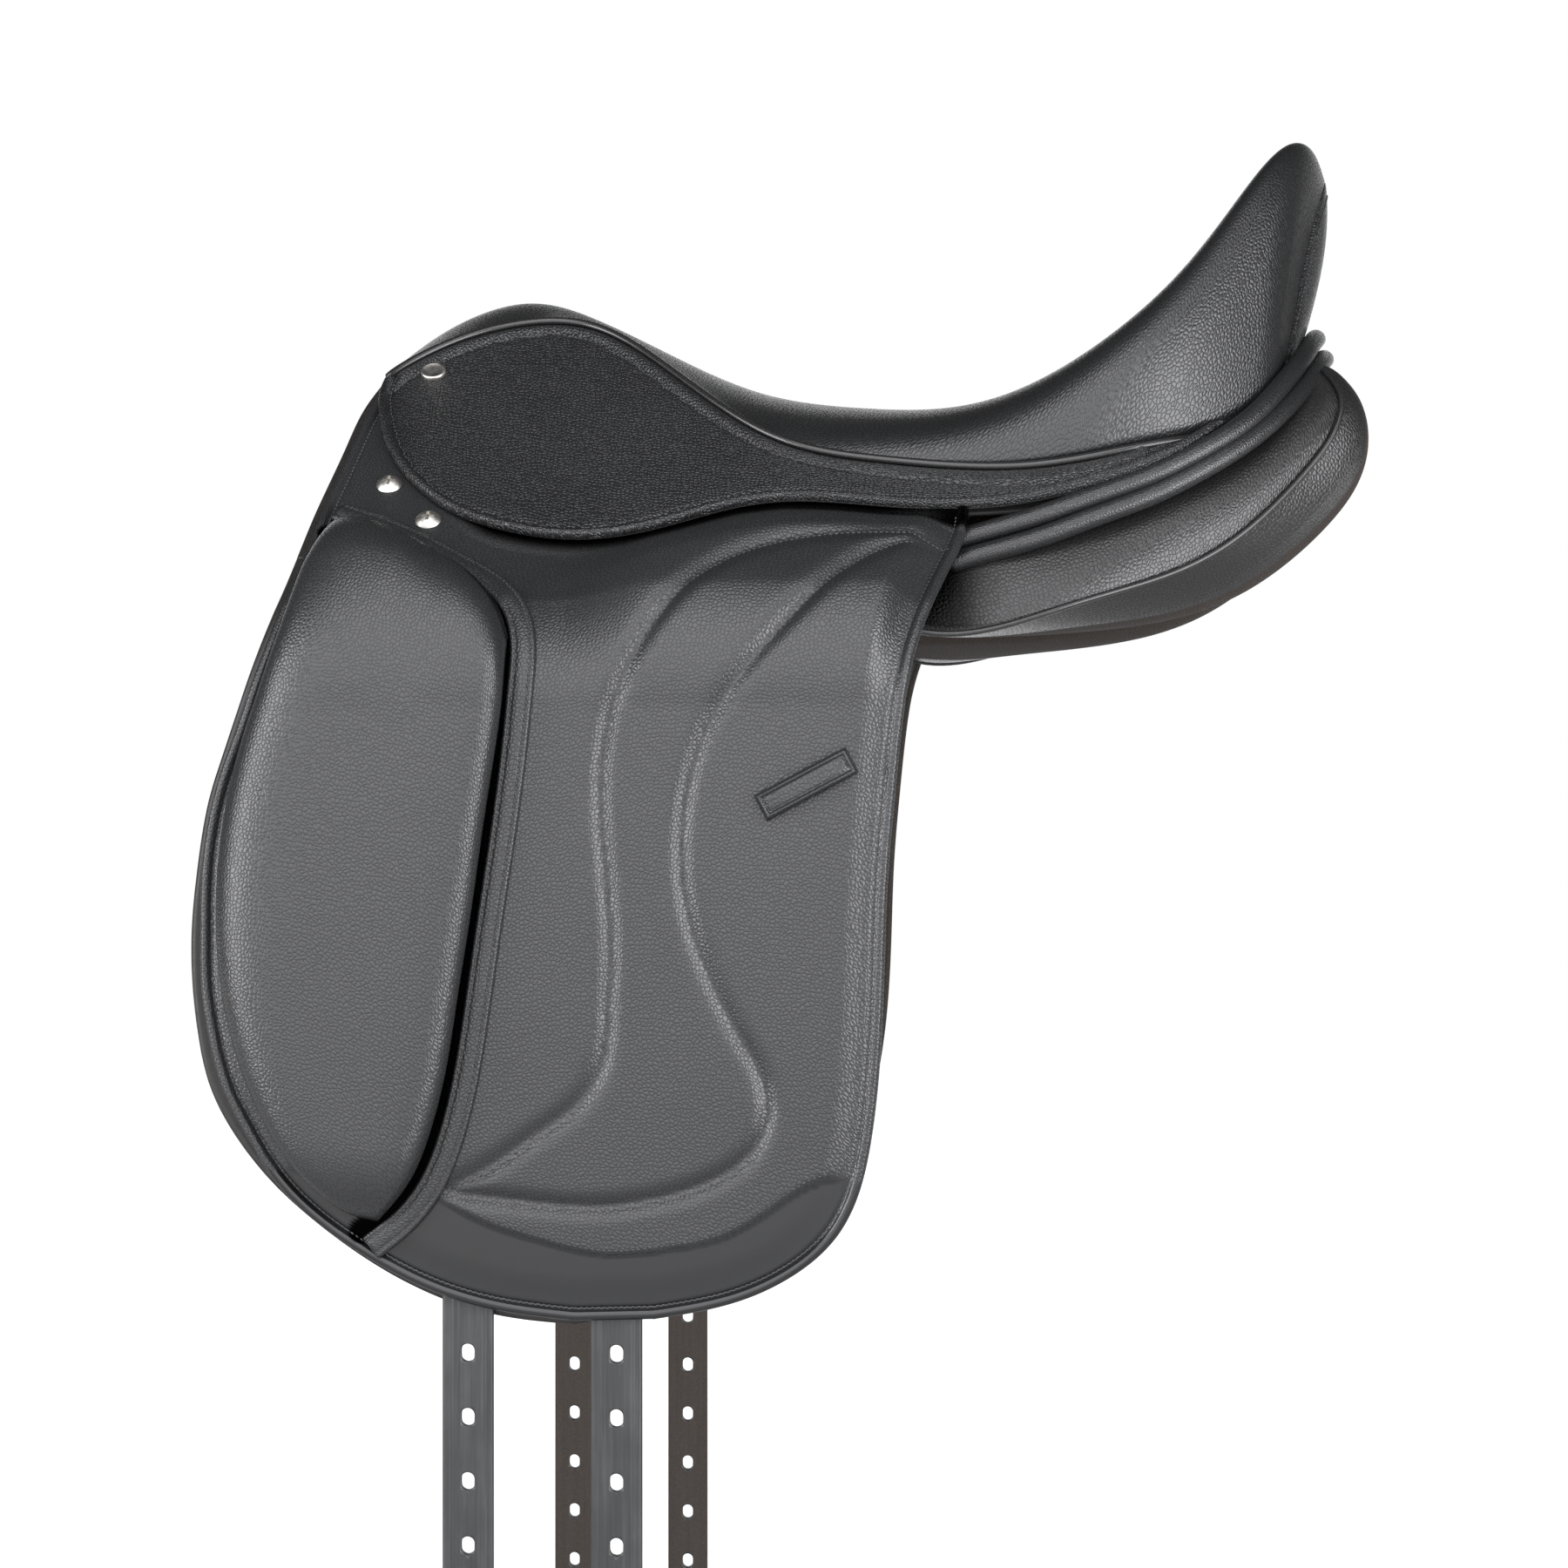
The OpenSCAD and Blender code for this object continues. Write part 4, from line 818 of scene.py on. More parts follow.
def blockShape():
    # super-ellipse section on each row, its height falling to both ends as a super-ellipse too, and growing
    # over the bend
    look = blockLook
    phi = np.linspace(0, np.pi, look["cols"])
    c, s = np.cos(phi), np.sin(phi)
    power, rise = (np.where(c > 0, look["front" + k], look["rear" + k]) for k in ("Power", "Rise"))
    share = 0.5 - 0.5 * np.sign(c) * np.abs(c) ** (2 / power)
    lift = np.abs(s) ** (2 / rise)
    share = share - look["undercut"] * (1 - lift) ** 2 * (c < 0)
    along = crowded(look["rows"], 0.45)
    front, rear = curve(look["front"], 300), curve(look["rear"], 300)
    bottom = pathAt(np.stack([front[-1], rear[-1]]), np.linspace(0, 1, 20))
    spots = patch(front, rear, curve(look["top"], 200), bottom, share, along)
    toEnd = np.minimum(np.clip(along / look["topShare"], 0, 1), np.clip((1 - along) / look["tipShare"], 0, 1))
    high = look["high"] * (1 - (1 - toEnd) ** look["endPower"]) ** (1 / look["endPower"])
    crest = look["crest"] * ease((spots[..., 1] - look["crestZ"][0]) / look["crestZ"][1])
    full = high[:, None] / look["high"] * (look["high"] + crest)
    points = onFlap(spots[..., 0], spots[..., 1], look["base"] + full * lift[None])
    skin = spread(points)
    # painted shade: black on the low part of the undercut rear wall and at the block's top end
    (liftTo, liftRun), (topTo, topRun) = look["shadeLift"], look["shadeTop"]
    shade = np.maximum(ease((liftTo - lift) / liftRun) * (c < 0), ease((topTo - along) / topRun)[:, None])
    skin[..., 2] = -shade / mm
    return points.reshape(-1, 3), gridFaces(look["rows"], look["cols"], loop=True), skin


for side, piece in bothSides("kneeBlock", blockShape(), flapLeather):
    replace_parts(piece, f"knee_block_{side}")
    flapBlend(piece, side)

bandPath, bandUp = onFlap(bandSpots[:, 0], bandSpots[:, 1], np.zeros(len(bandSpots))), outAt(bandSpots[:, 1])
bandShape = carried(bandPath, np.array(bandLook["profile"]), bandUp)
# painted shade on the welt's side wall that faces the knee block
bandShape[2][:, -2:, 2] = -1 / mm
for side, piece in bothSides("kneeWelt", bandShape, flapLeather):
    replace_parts(piece, f"knee_welt_{side}")
    flapBlend(piece, side)

keeperLook = dict(at=(24, -57), turn=28, length=45, wide=12.5, thick=3.4, low=2.4, lift=2.6, bead=0.9, beadIn=1.5,
                  beadWide=0.9, stitchAt=3.0, stitchCut=0.5, stitchEnds=7, stitchSunk=0.4, rows=40, cols=110)


def onKeeper(a, b):
    # x and z of a place on the keeper: its lengths along and across, turned on the flap
    turn = math.radians(keeperLook["turn"])
    return (keeperLook["at"][0] + a * math.cos(turn) + b * math.sin(turn),
            keeperLook["at"][1] - a * math.sin(turn) + b * math.cos(turn))


def keeperBow(a):
    # its height over the flap: a fourth power of the share from the middle
    return keeperLook["low"] + keeperLook["lift"] * (1 - (2 * np.abs(a) / keeperLook["length"]) ** 4)


def keeperShape():
    # flat strip, bowed up between its sewn ends, with a bead along its bound edges
    look = keeperLook
    a = (crowded(look["cols"], 0.6) - 0.5)[None] * look["length"] + np.zeros((look["rows"], 1))
    b = (crowded(look["rows"], 0.6) - 0.5)[:, None] * look["wide"] + 0 * a
    edge = np.minimum(look["wide"] / 2 - np.abs(b), look["length"] / 2 - np.abs(a))
    (x, z), bow = onKeeper(a, b), keeperBow(a)
    bead = look["bead"] * bellAt(edge - look["beadIn"], look["beadWide"]) \
        - look["stitchCut"] * bellAt(edge - look["stitchAt"], look["stitchCut"])
    rounding = edgeRound(edge, look["thick"])
    return slab(onFlap(x, z, bow + look["thick"] + bead - rounding), onFlap(x, z, bow + rounding))


for side, piece in bothSides("keeperLoop", keeperShape(), flapLeather):
    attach(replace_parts(piece, f"keeper_{side}"), f"{side}_flap")
print("knee blocks made")

# sweat flap behind the girth straps

sweatLook = dict(
    front=[(232, 139), (240.5, 121), (245, 102), (249, 84), (253, 66), (256, 49), (259, 32), (262.5, 16), (267, 0),
           (272, -16), (277, -31), (282, -46), (287, -62), (290.5, -79), (293, -97), (295, -118), (295, -142),
           (292.5, -166), (287, -190), (275.5, -212), (258.5, -233), (240, -249.5), (220, -264), (194, -278.5),
           (163, -289), (125, -293.5)],
    rearMargin=3, thick=3.0, rows=150, cols=70, roll=4.0, rollHigh=0.7,
    strip=13, stripLap=6, stripRows=90, stripCols=16, stripPower=1.3)


sweatFront = curve(sweatLook["front"], 600)


def sweatSheet(spots, edge):
    # sheet on the side's inner face, with a beaded and rounded edge
    rounding = edgeRound(edge, sweatLook["thick"])
    bead = beadAt(edge, sweatLook["roll"], sweatLook["rollHigh"])
    return slab(onLayer(spots[..., 0], spots[..., 1], sweatLook["thick"] + bead - rounding),
                onLayer(spots[..., 0], spots[..., 1], rounding))


def sweatShape():
    # patch of its own front line and the flap's rear line moved in, below the fold
    look = sweatLook
    (x0, z0), (x1, z1) = flapLook["fold"]
    lines = sweatFront, offsetPath(flapRear, look["rearMargin"])
    front, rear = [p[p[:, 1] < z0 + (p[:, 0] - x0) * (z1 - z0) / (x1 - x0)] for p in lines]
    ends = [pathAt(np.stack([front[k], rear[k]]), np.linspace(0, 1, 40)) for k in (0, -1)]
    spots = patch(front, rear, ends[0], ends[1], crowded(look["cols"], 0.7), crowded(look["rows"], 0.5))
    return sweatSheet(spots, distanceTo(spots, np.concatenate([front, ends[1][1:-1], rear[::-1]])[::3]))


def sweatStrip():
    # ruled between the front line above the fold and the same line moved in
    look = sweatLook
    above = sweatFront[sweatFront[:, 1] > flapLook["fold"][0][1] - look["stripLap"]]
    edgePath = pathAt(above, np.linspace(0, 1, look["stripRows"]))
    v = np.linspace(0, 1, look["stripCols"]) ** look["stripPower"]
    spots = edgePath[:, None] + (offsetPath(edgePath, -look["strip"]) - edgePath)[:, None] * v[None, :, None]
    return sweatSheet(spots, v[None] * look["strip"] + np.zeros((look["stripRows"], 1)))


for side, piece in bothSides("sweatFlap", sweatShape(), sweatLeather):
    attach(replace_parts(piece, f"sweat_flap_{side}"), "saddle_body")
for side, piece in bothSides("sweatStrip", sweatStrip(), sweatLeather):
    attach(piece, "saddle_body")

# girth straps with oval holes and two engraved lines near each edge

strapLook = dict(at=(172, 107), wide=22.5, thick=3.3, topZ=-44, tipZ=-545, tip=12, tipWide=7.5, holeTop=-305,
                 holePitch=28, holeWide=6, holeLong=8, holeDepth=5, holeSides=28, holes=8,
                 lines=((4.0, 0.5, 0.55), (6.2, 0.25, 0.4)), edgeShare=0.9, rows=240, cols=46)


def strapShape(x):
    # half width by height: a round top, straight sides and a short taper at the tip, with two engraved lines
    look = strapLook
    half = look["wide"] / 2
    z = look["topZ"] + half - np.linspace(0, 1, look["rows"]) * (look["topZ"] + half - look["tipZ"])
    top = np.sqrt(np.clip(1 - (np.clip(z - look["topZ"], 0, half) / half) ** 2, 0.004, 1)) * half
    taper = np.clip((z - look["tipZ"]) / look["tip"], 0, 1)
    wide = np.minimum(top, look["tipWide"] / 2 + (half - look["tipWide"] / 2) * taper)
    s = (crowded(look["cols"], 0.55) * 2 - 1)[None]
    across, zz = s * wide[:, None], z[:, None] + 0 * s
    edge = np.minimum(wide[:, None] * (1 - np.abs(s)), zz - look["tipZ"])
    cut = sum(deep * bellAt(edge - at, wideness) for at, deep, wideness in look["lines"])
    rounding = edgeRound(edge, look["thick"]) * look["edgeShare"]
    y = wall["halfWidth"] + wall["strapOut"]
    outer = np.stack([x + across, y - cut - rounding, zz], -1)
    return slab(outer, np.stack([x + across, y - look["thick"] + rounding, zz], -1))


def holeCutter(x, flip):
    # upright ovals: two half circles moved apart, through the strap
    look = strapLook
    t = np.linspace(0, 2 * np.pi, look["holeSides"], endpoint=False)
    apart = np.sign(np.sin(t)) * (look["holeLong"] - look["holeWide"]) / 2
    ring = np.stack([look["holeWide"] / 2 * np.cos(t), 0 * t, look["holeWide"] / 2 * np.sin(t) + apart], -1)
    y = wall["halfWidth"] + wall["strapOut"] - look["thick"] / 2
    depth = np.array([-1, -1, 1, 1])[:, None, None] * np.array([0, look["holeDepth"], 0])
    size = np.array([0, 1, 1, 0])[:, None, None]
    parts = []
    for k in range(look["holes"]):
        middle = np.array([x, y, look["holeTop"] - k * look["holePitch"]])
        parts.append(((middle + ring[None] * size + depth).reshape(-1, 3), gridFaces(4, len(t), loop=True)))
    return addPiece("holeCutter", joined(parts), strapLeather, flip)


def applyModifiers(piece):
    # the piece's mesh as its modifiers leave it
    view = bpy.context.evaluated_depsgraph_get()
    mesh = bpy.data.meshes.new_from_object(piece.evaluated_get(view))
    piece.modifiers.clear()
    piece.data = mesh


for which, x in zip(("front", "rear"), strapLook["at"]):
    for side in ("left", "right"):
        piece = addPiece(f"girthStrap_{which}_{side}", strapShape(x), strapLeather, side == "right")
        cutter = holeCutter(x, side == "right")
        trim = piece.modifiers.new("holes", "BOOLEAN")
        trim.object, trim.operation, trim.solver = cutter, "DIFFERENCE", "EXACT"
        bpy.context.view_layer.update()
        applyModifiers(piece)
        bpy.data.objects.remove(cutter)
        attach(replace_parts(piece, f"girth_strap_{which}_{side}"), f"{side}_{which}_strap")
print("straps made")

# panels: stuffed cushions lofted along the back, piped at the outer lower edge

panelLook = dict(
    frontX=(200, 150, 90, 30), wallIn=-11.6, clear=1.5,
    frontTop=(117, 116, 104, 71), frontMid=(49, 49, 49, 44), frontLow=(38, 31, 30, 30),
    innerTop=[(200, 36, 112), (150, 34, 106), (90, 33, 92), (30, 33, 76), (-30, 33, 82), (-90, 33, 90),
              (-140, 34, 106), (-177, 38, 115), (-199, 42, 125), (-206, 46, 133), (-207, 50, 140), (-205, 56, 145)],
    innerLow=[(200, 116, 28), (150, 128, 6), (90, 116, 4), (30, 90, 12), (-30, 60, 17), (-90, 52, 20), (-140, 48, 31),
              (-176, 50, 46), (-205, 52, 72), (-221, 54, 96), (-225, 57, 118), (-216, 62, 138)],
    backTop=[(-30, 136, 62), (-90, 133, 66), (-140, 124, 80), (-172, 108, 98), (-193, 95, 115), (-204, 83, 130),
             (-206.5, 74, 139), (-206, 66, 145)],
    backMid=[(-30, 149, 37), (-90, 146, 43), (-140, 132, 59), (-175, 117, 79), (-198, 104, 99), (-210, 93, 116),
             (-212.5, 83, 129), (-209, 71, 142)],
    backLow=[(-30, 163, 10.5), (-90, 155, 22.5), (-140, 136.5, 39), (-176, 121, 60.5), (-203, 105.5, 87),
             (-218, 96, 107), (-222.5, 86, 126), (-214, 71, 141.5)],
    crown=(9, 9, 8, 4, 2, 8, 15, 18, 20, 18, 11, 6), drawnIn=3, bulge=3.0, bulgeX=(40, 60), rows=150,
    steps=(9, 14, 26, 10), evened=3, ends=(0.02, 0.035), endShare=0.45, brown=(0.2, 0.3),
    shade=0.75, shadeX=(-66, 28))


def panelLines():
    # the five corners of each row: inner top, outer top, middle of the outer wall, piped edge, inner low
    look = panelLook
    line = lambda k: np.array(look[k], float)
    outer = [np.concatenate([onLayer(line("frontX"), line("front" + k), depth), line("back" + k)])
             for k, depth in (("Top", look["wallIn"]), ("Mid", look["wallIn"]), ("Low", -look["clear"]))]
    return [seatLine(p, look["rows"])[:, None] for p in (look["innerTop"], *outer, look["innerLow"])]


def panelShape():
    # ring of each row: flat top, bulged outer wall, crowned underside, drawn-in channel side, then evened round
    look = panelLook
    a, b, e, c, d = panelLines()
    s = lambda n: np.linspace(0, 1, n, endpoint=False)[None, :, None]
    arch = lambda u: 4 * u * (1 - u)
    topSteps, wallSteps, underSteps, sideSteps = look["steps"]
    corner = topSteps + wallSteps
    top = a + (b - a) * s(topSteps)
    u = s(wallSteps)
    wallLine = b * (1 - u) ** 2 + 2 * (2 * e - (b + c) / 2) * u * (1 - u) + c * u * u
    behind = ease((look["bulgeX"][0] - wallLine[..., :1]) / look["bulgeX"][1])
    wallLine = wallLine + np.array([0, look["bulge"], 0]) * arch(u) * behind
    run = d - c
    down = unit(np.cross(np.gradient(c + d, axis=0), run))
    down = down * -np.sign((down * (c + d - a - b)).sum(-1, keepdims=True))
    u = s(underSteps)
    crown = seatLine(np.array(look["crown"], float)[:, None], look["rows"])[:, None]
    under = c + run * u - down * crown * arch(u)
    u = s(sideSteps)
    channelSide = d + (a - d) * u + np.array([0, look["drawnIn"], 0]) * arch(u)
    ring = np.concatenate([top, wallLine, under, channelSide], 1)
    pinned = np.zeros(ring.shape[1])
    pinned[corner] = 1
    for k in range(look["evened"]):
        even = (np.roll(ring, 1, 1) + 2 * ring + np.roll(ring, -1, 1)) / 4
        ring = even * (1 - pinned[None, :, None]) + ring * pinned[None, :, None]
    # both ends rounded: rings drawn in to their middle
    along = np.linspace(0, 1, look["rows"])[:, None, None]
    toEnd = np.clip(np.minimum(along / look["ends"][0], (1 - along) / look["ends"][1]), 0, 1)
    closing = np.sqrt(np.clip(1 - (1 - toEnd) ** 2, 0, 1))
    middle = ring.mean(1, keepdims=True)
    ring = middle + (ring - middle) * (1 - look["endShare"] + look["endShare"] * closing)
    ends = np.concatenate([middle[:1] + 0 * ring[:1], ring, middle[-1:] + 0 * ring[-1:]])
    # the underside is brown, and the wall behind the flap gets a painted shadow of the flap
    brown = ease((s(underSteps).ravel() - look["brown"][0]) / look["brown"][1])
    skin = spread(ends)
    skin[..., 2] = np.concatenate([np.zeros(corner), brown, np.ones(sideSteps)]) / mm
    shade = ease((ends[:, :corner, 0] - look["shadeX"][0]) / look["shadeX"][1])
    skin[:, :corner, 2] = -look["shade"] * shade / mm
    return (ends.reshape(-1, 3), gridFaces(len(ends), ring.shape[1], loop=True), skin), ring[:, corner]


panelMesh, panelCorner = panelShape()
for side, piece in bothSides("panelCushion", panelMesh, panelLeather):
    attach(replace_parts(piece, f"panel_{side}"), "saddle_body")
panelWeltLook = dict(size=2.8, ends=(51, -2), out=(0, 1.6, 0), rings=160, sides=12, run=300, cap=2.3)
panelWeltPath = (pathAt(panelCorner[slice(*panelWeltLook["ends"])], np.linspace(0, 1, panelWeltLook["rings"]))
                 + np.array(panelWeltLook["out"]))
for side, piece in bothSides("panelWelt", pipingShape(panelWeltPath, np.array([0, 1.0, 0]), panelWeltLook),
                             pipingLeather):
    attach(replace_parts(piece, f"panel_welt_{side}"), "saddle_body")

liningLook = dict(begin=0.42, to=0.97, inset=7, above=3, last=-12, thick=2, rows=12, cols=120)


def sideLining():
    # ruled from just inside the seat's edge to the top of the panel's outer wall, so that nothing shows between them
    look = liningLook
    top = pathAt(edgeLine, np.linspace(look["begin"], look["to"], look["cols"])) - np.array([0, look["inset"], 0])
    b = panelLines()[1][:, 0]
    foot = b[np.searchsorted(-b[:, 0], -top[0, 0]):look["last"]]
    foot = pathAt(foot, np.linspace(0, 1, look["cols"])) + np.array([0, 0, look["above"]])
    v = np.linspace(0, 1, look["rows"])[:, None, None]
    face = top[None] * (1 - v) + foot[None] * v
    return slab(face, face - np.array([0, look["thick"], 0]))


for side, piece in bothSides("sideLining", sideLining(), calfLeather):
    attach(piece, "saddle_body")
print("panels made")

# linings that close the saddle below: the channel between the panels, and the front of the pommel's arch

channelLook = dict(
    lines=[(208, 128.5, 37, 113), (178, 128, 37, 110), (150, 126, 36, 107), (120, 122, 35, 100), (90, 113, 35, 93),
           (60, 102, 35, 84.5), (30, 94.5, 35, 77), (0, 90.5, 35, 79), (-30, 88.5, 35, 82.5), (-60, 88.5, 35, 86.5),
           (-90, 94, 35, 90.5), (-120, 104.5, 36, 99), (-140, 114, 36, 106.5), (-160, 129, 37, 110),
           (-177, 139, 40, 115.5), (-195, 147, 43, 123.5), (-212, 151, 50, 138)], power=5, thick=2, rows=120, cols=45)


def channelLining():
    # each row is flat in the middle and falls to the panels as a fifth power of the share across
    look = channelLook
    row = seatLine(look["lines"], look["rows"])[:, None]
    t = np.linspace(-1, 1, look["cols"])[None]
    z = row[..., 1] + (row[..., 3] - row[..., 1]) * np.abs(t) ** look["power"]
    low = np.stack([row[..., 0] + 0 * t, row[..., 2] * t, z], -1)
    return slab(low, low + np.array([0, 0, look["thick"]]))


archLook = dict(
    outer=[(231, 0, 131.5), (230.5, 25, 131), (230, 50, 130.5), (227, 82, 130), (214, 98.5, 112), (209, 119.5, 91),
           (207, 140.5, 70), (206.5, 147.5, 63)],
    inner=[(206, 0, 129), (206, 20, 126.5), (206, 40, 123.5), (206, 66, 115), (206, 82, 100), (206, 98, 84.5),
           (206, 112, 70.5), (206, 119, 63.5)], bulge=2.5, bulgeWay=(1.0, 0, -0.3), thick=2, rows=16, cols=161)


def archFacing():
    # ruled between the seat's front edge and the arch below the plate, swelled forwards by a half sine
    look = archLook
    across = lambda points: seatLine(np.concatenate([np.array(points[::-1], float) * np.array([1, -1, 1]),
                                                     np.array(points[1:], float)]), look["cols"])[None]
    v = np.linspace(0, 1, look["rows"])[:, None, None]
    face = across(look["outer"]) * (1 - v) + across(look["inner"]) * v
    face = face + np.array(look["bulgeWay"]) * look["bulge"] * np.sin(np.pi * v)
    return slab(face, face - np.array([look["thick"], 0, 0]))


for name, shape in (("channelLining", channelLining()), ("archFacing", archFacing())):
    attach(addPiece(name, shape, panelLeather), "saddle_body")
print("linings made")

# stitching

rowLook = dict(lift=0.15, lineB=(6, -4), toeUp=2.2, toe=(4, -22), edge=(12, -14))  # the pairs are ends of rows


def flapRow(spots):
    # a row on the flap's relief
    high = flapRelief(spots, distanceTo(spots, flapBorder)) + rowLook["lift"]
    return onFlap(spots[:, 0], spots[:, 1], high), outAt(spots[:, 1])


def flapStitching():
    # rows along the quilted lines, the toe's seam, the groove round the edge, and both sides of the welt
    inset, (first, last) = flapLook["grooveAt"], rowLook["edge"]
    edge = np.concatenate([offsetPath(flapRear, inset)[first:], (flapBottom + np.array([0, inset]))[::-1],
                           offsetPath(flapFront, -inset)[::-1][:last]])
    rows = [flapRow(spots) for spots in (
        lineA, lineB[slice(*rowLook["lineB"])], offsetPath(toeSeam, rowLook["toeUp"])[slice(*rowLook["toe"])], edge)]
    for by in (-bandLook["stitchAt"], bandLook["stitchAt"]):
        spots = offsetPath(bandSpots, by)
        high = np.full(len(spots), bandLook["stitchHigh"])
        rows.append((onFlap(spots[:, 0], spots[:, 1], high), outAt(spots[:, 1])))
    return joined([stitches(*row) for row in rows])


def keeperRows():
    # both long edges of the keeper, on its bow
    look = keeperLook
    a = np.linspace(-0.5, 0.5, 60) * (look["length"] - look["stitchEnds"])
    high = keeperBow(a) + look["thick"] - look["stitchSunk"]
    rows = []
    for b in (look["stitchAt"] - look["wide"] / 2, look["wide"] / 2 - look["stitchAt"]):
        x, z = onKeeper(a, b)
        rows.append(stitches(onFlap(x, z, high), outAt(z), dict(stitchLook, radius=0.3, pitch=2.4, length=1.9)))
    return joined(rows)


for side, piece in bothSides("keeperStitches", keeperRows(), threadBlack):
    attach(piece, f"{side}_flap")
cantleRow = pathAt(cantleFace[3, 5:-5], np.linspace(0, 1, 200))
cantleUp = pathAt(cantleAway[5:-5], np.linspace(0, 1, 200))
cantleRows = stitches(cantleRow + 0.2 * cantleUp, cantleUp, dict(stitchLook, radius=0.36))
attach(addPiece("cantleStitches", cantleRows, threadBlack), "saddle_body")
for side, piece in bothSides("flapStitches", flapStitching(), threadBlack):
    flapBlend(piece, side)

skirtRowLook = dict(stitchLook, radius=0.38, pitch=2.7, lift=0.2, low=(6, -60), top=(14, -90))


def skirtRow(edge, away, ends):
    # stitches in a groove of the skirt: on each line across it, the place nearest to a distance from its edge
    distance = distanceTo(skirtFace, edge)
    k = np.argmin(np.abs(distance - away), axis=0)
    path = skirtOuter[k, np.arange(distance.shape[1])][slice(*ends)] + skirtRowLook["lift"] * outSlope
    return stitches(path, np.tile(outSlope, (len(path), 1)), skirtRowLook)


skirtRows = joined([skirtRow(skirtLow, skirtLook["roll"] + skirtLook["grooveAt"], skirtRowLook["low"]),
                    skirtRow(skirtTop, skirtLook["band"], skirtRowLook["top"])])
for side, piece in bothSides("skirtStitches", skirtRows, threadBlack):
    skirtBlend(piece, side)
print("stitching made")

# studs on the skirts: plain nickel discs with a raised rim

studLook = dict(at=(207, 139), steps=64, profile=[
    (0, 2.3), (2.6, 2.3), (4.5, 2.2), (4.9, 2.45), (5.4, 2.5), (5.8, 2.2), (6.0, 1.6), (6.0, -0.6), (0, -0.6)])


def studShape():
    # a profile of radius and height turned about the slope's normal
    look = studLook
    t = np.linspace(0, 2 * np.pi, look["steps"], endpoint=False)
    middle = onLayer(np.array(look["at"][0]), np.array(look["at"][1]), wall["skirt"])
    ring = np.cos(t)[:, None] * np.array([1.0, 0, 0]) + np.sin(t)[:, None] * downSlope
    p = np.array(look["profile"])[:, None]
    points = middle + p[..., :1] * ring[None] + p[..., 1:] * outSlope
    return points.reshape(-1, 3), gridFaces(len(p), look["steps"], loop=True)


stud, faces = studShape()
studs = addPiece("studDiscs", joined([(stud, faces), (stud * np.array([1, -1, 1]), faces)]), nickel)
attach(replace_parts(studs, "head_nails"), "saddle_body")

# CAD nodes that are shown as they are

for node, material in (("tree", beech), ("gullet_plate", steel), ("plate_rivets", steel), ("bar_rivets", steel),
                       ("flap_screws", nickel), ("web_nails", steel), ("strap_rivets", nickel),
                       *((f"{part}_{side}", finish) for side in ("left", "right") for part, finish in (
                           ("tree_rail", steel), ("stirrup_bar", steel), ("stirrup_catch", steel),
                           ("girth_webs", webTape)))):
    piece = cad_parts[node]
    piece.data.materials.clear()
    piece.data.materials.append(material)

# floor, light and camera

stageLook = dict(floorZ=-0.552, floorSize=9.0, worldLight=0.1, floorTone=0.5, glow=(0.75, 1.0), glowRun=(0.6, 1.6),
                 mirror=(0.1, 1.0), mirrorRun=(0.8, 3.5), darkFrom=(0.2, 0.55), overhead=0.3, dimFrom=(-0.92, -0.7),
                 behind=0.6, dim=0.1, lampTint=(0.97, 0.97, 1.0))


def seenRays(tree):
    # the camera's rays, and those with reflections and glass added
    light = tree.nodes.new("ShaderNodeLightPath").outputs
    shiny = mathNode(tree, "MAXIMUM", light["Is Glossy Ray"], light["Is Transmission Ray"])
    return light["Is Camera Ray"], mathNode(tree, "MAXIMUM", light["Is Camera Ray"], shiny)


def makeFloor():
    # white to the camera, fading in reflections near the saddle
    mesh = bpy.data.meshes.new("floor")
    h, z = stageLook["floorSize"] / 2, stageLook["floorZ"]
    mesh.from_pydata([(-h, -h, z), (h, -h, z), (h, h, z), (-h, h, z)], [], [(0, 1, 2, 3)])
    floor = bpy.data.objects.new("floor", mesh)
    bpy.context.scene.collection.objects.link(floor)
    material, tree, shader, place = startMaterial("paleFloor")
    shader.inputs["Base Color"].default_value = grey(stageLook["floorTone"])
    shader.inputs["Roughness"].default_value = 0.9
    shader.inputs["Specular IOR Level"].default_value = 0.0
    shader.inputs["Emission Color"].default_value = grey(1.0)
    direct, seen = seenRays(tree)
    away = addNode(tree, "ShaderNodeVectorMath", {0: place}, operation="LENGTH").outputs["Value"]
    glow = mapRange(tree, away, *stageLook["glowRun"], *stageLook["glow"])
    reflected = mapRange(tree, away, *stageLook["mirrorRun"], *stageLook["mirror"])
    shown = addNode(tree, "ShaderNodeMix", {0: direct, 2: reflected, 3: glow}, data_type="FLOAT")
    tree.links.new(mathNode(tree, "MULTIPLY", seen, shown.outputs[0]), shader.inputs["Emission Strength"])
    mesh.materials.append(material)


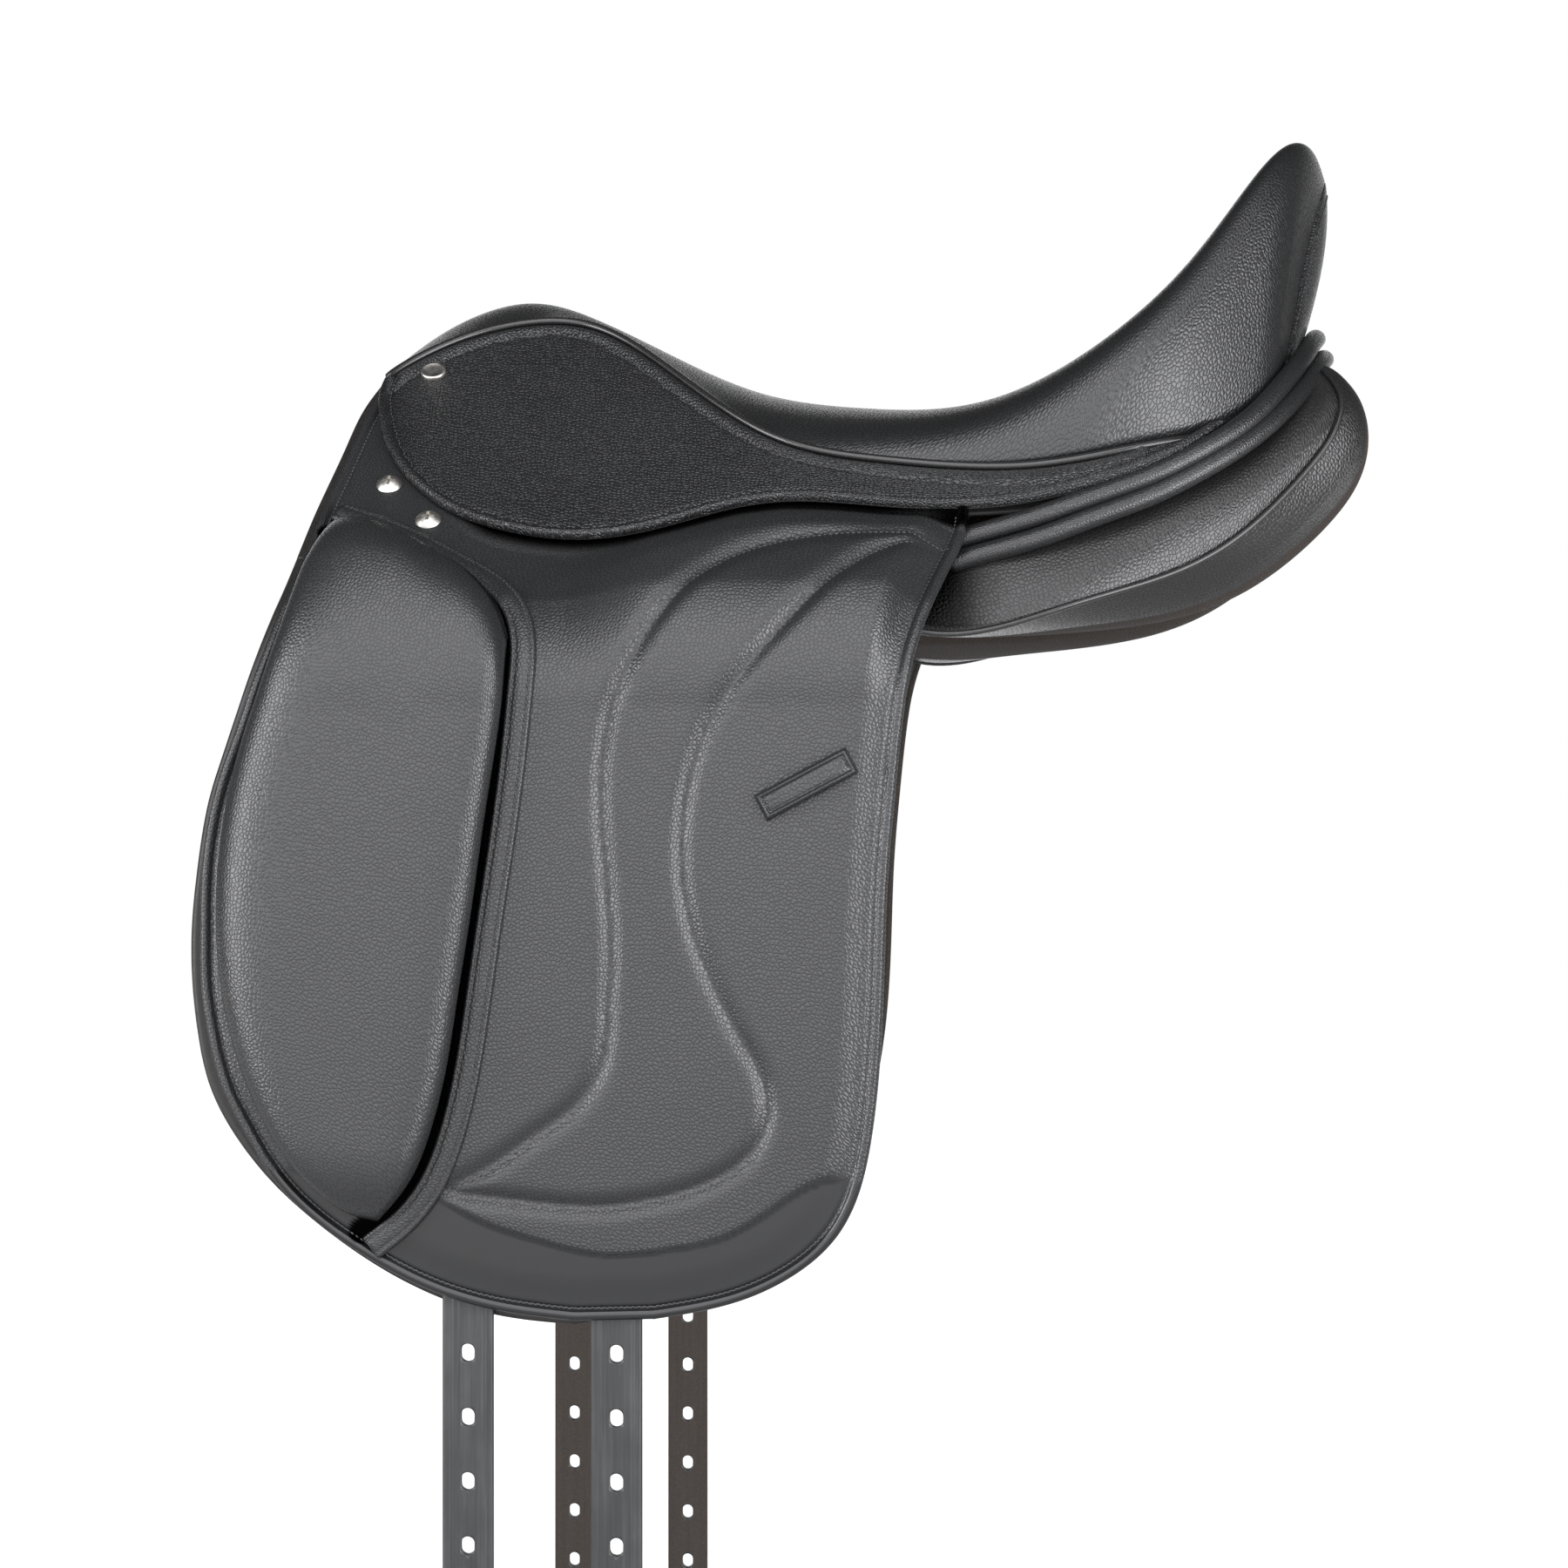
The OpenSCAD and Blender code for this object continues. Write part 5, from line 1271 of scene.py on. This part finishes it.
def makeWorld():
    world = bpy.data.worlds.new("studio")
    bpy.context.scene.world = world
    world.use_nodes = True
    tree = world.node_tree
    back = tree.nodes["Background"]
    direct, seen = seenRays(tree)
    back.inputs["Color"].default_value = grey(1.0)
    # white where the camera looks; reflections see it white behind and dim in front and overhead, where the lamps are
    way = addNode(tree, "ShaderNodeSeparateXYZ", {0: tree.nodes.new("ShaderNodeTexCoord").outputs["Generated"]})
    sky = mapRange(tree, way.outputs["Z"], *stageLook["darkFrom"], 1.0, stageLook["overhead"])
    behind = mapRange(tree, way.outputs["Y"], *stageLook["dimFrom"], stageLook["behind"], stageLook["dim"])
    reflected = mathNode(tree, "MULTIPLY", sky, behind)
    field = addNode(tree, "ShaderNodeMix", {0: direct, 2: reflected, 3: 1.0}, data_type="FLOAT")
    low = addNode(tree, "ShaderNodeMix", {0: seen, 2: stageLook["worldLight"], 3: field.outputs[0]},
                  data_type="FLOAT")
    tree.links.new(low.outputs[0], back.inputs["Strength"])


lampLook = dict(
    front=dict(at=(0.35, 2.4, 0.75), size=(2.4, 2.3), power=54, aim=(0.05, 0.1, -0.05)),
    crown=dict(at=(-0.2, 1.5, 1.7), size=(2.2, 0.8), power=17, aim=(0, 0, 0.05)),
    rear=dict(at=(-1.75, 1.55, 0.2), size=(1.7, 1.5), power=62, aim=(-0.1, 0, 0.1)),
    fore=dict(at=(2.0, 1.35, 0.2), size=(1.2, 1.5), power=44, aim=(0.1, 0, 0)),
    far=dict(at=(0.1, -2.4, 0.3), size=(2.4, 1.7), power=13, aim=(0, 0, 0)))


def makeLamps():
    for name, look in lampLook.items():
        lamp = bpy.data.lights.new(name, "AREA")
        lamp.shape, lamp.energy = "RECTANGLE", look["power"]
        lamp.size, lamp.size_y = look["size"]
        lamp.color = stageLook["lampTint"]
        holder = bpy.data.objects.new(name, lamp)
        bpy.context.scene.collection.objects.link(holder)
        holder.location = look["at"]
        aim = Vector(look["aim"]) - Vector(look["at"])
        holder.rotation_euler = aim.to_track_quat("-Z", "Y").to_euler()


cameraLook = dict(at=(-0.02256, 1.50157, -0.057), turn=182.5, lens=68.6)


def makeCamera():
    data = bpy.data.cameras.new("camera")
    data.lens, data.sensor_width = cameraLook["lens"], 36
    camera = bpy.data.objects.new("camera", data)
    bpy.context.scene.collection.objects.link(camera)
    camera.location = cameraLook["at"]
    camera.rotation_euler = (math.radians(90), 0, math.radians(cameraLook["turn"]))
    bpy.context.scene.camera = camera


makeFloor()
makeWorld()
makeLamps()
makeCamera()
bpy.context.scene.view_settings.view_transform = "Standard"
print("stage set")
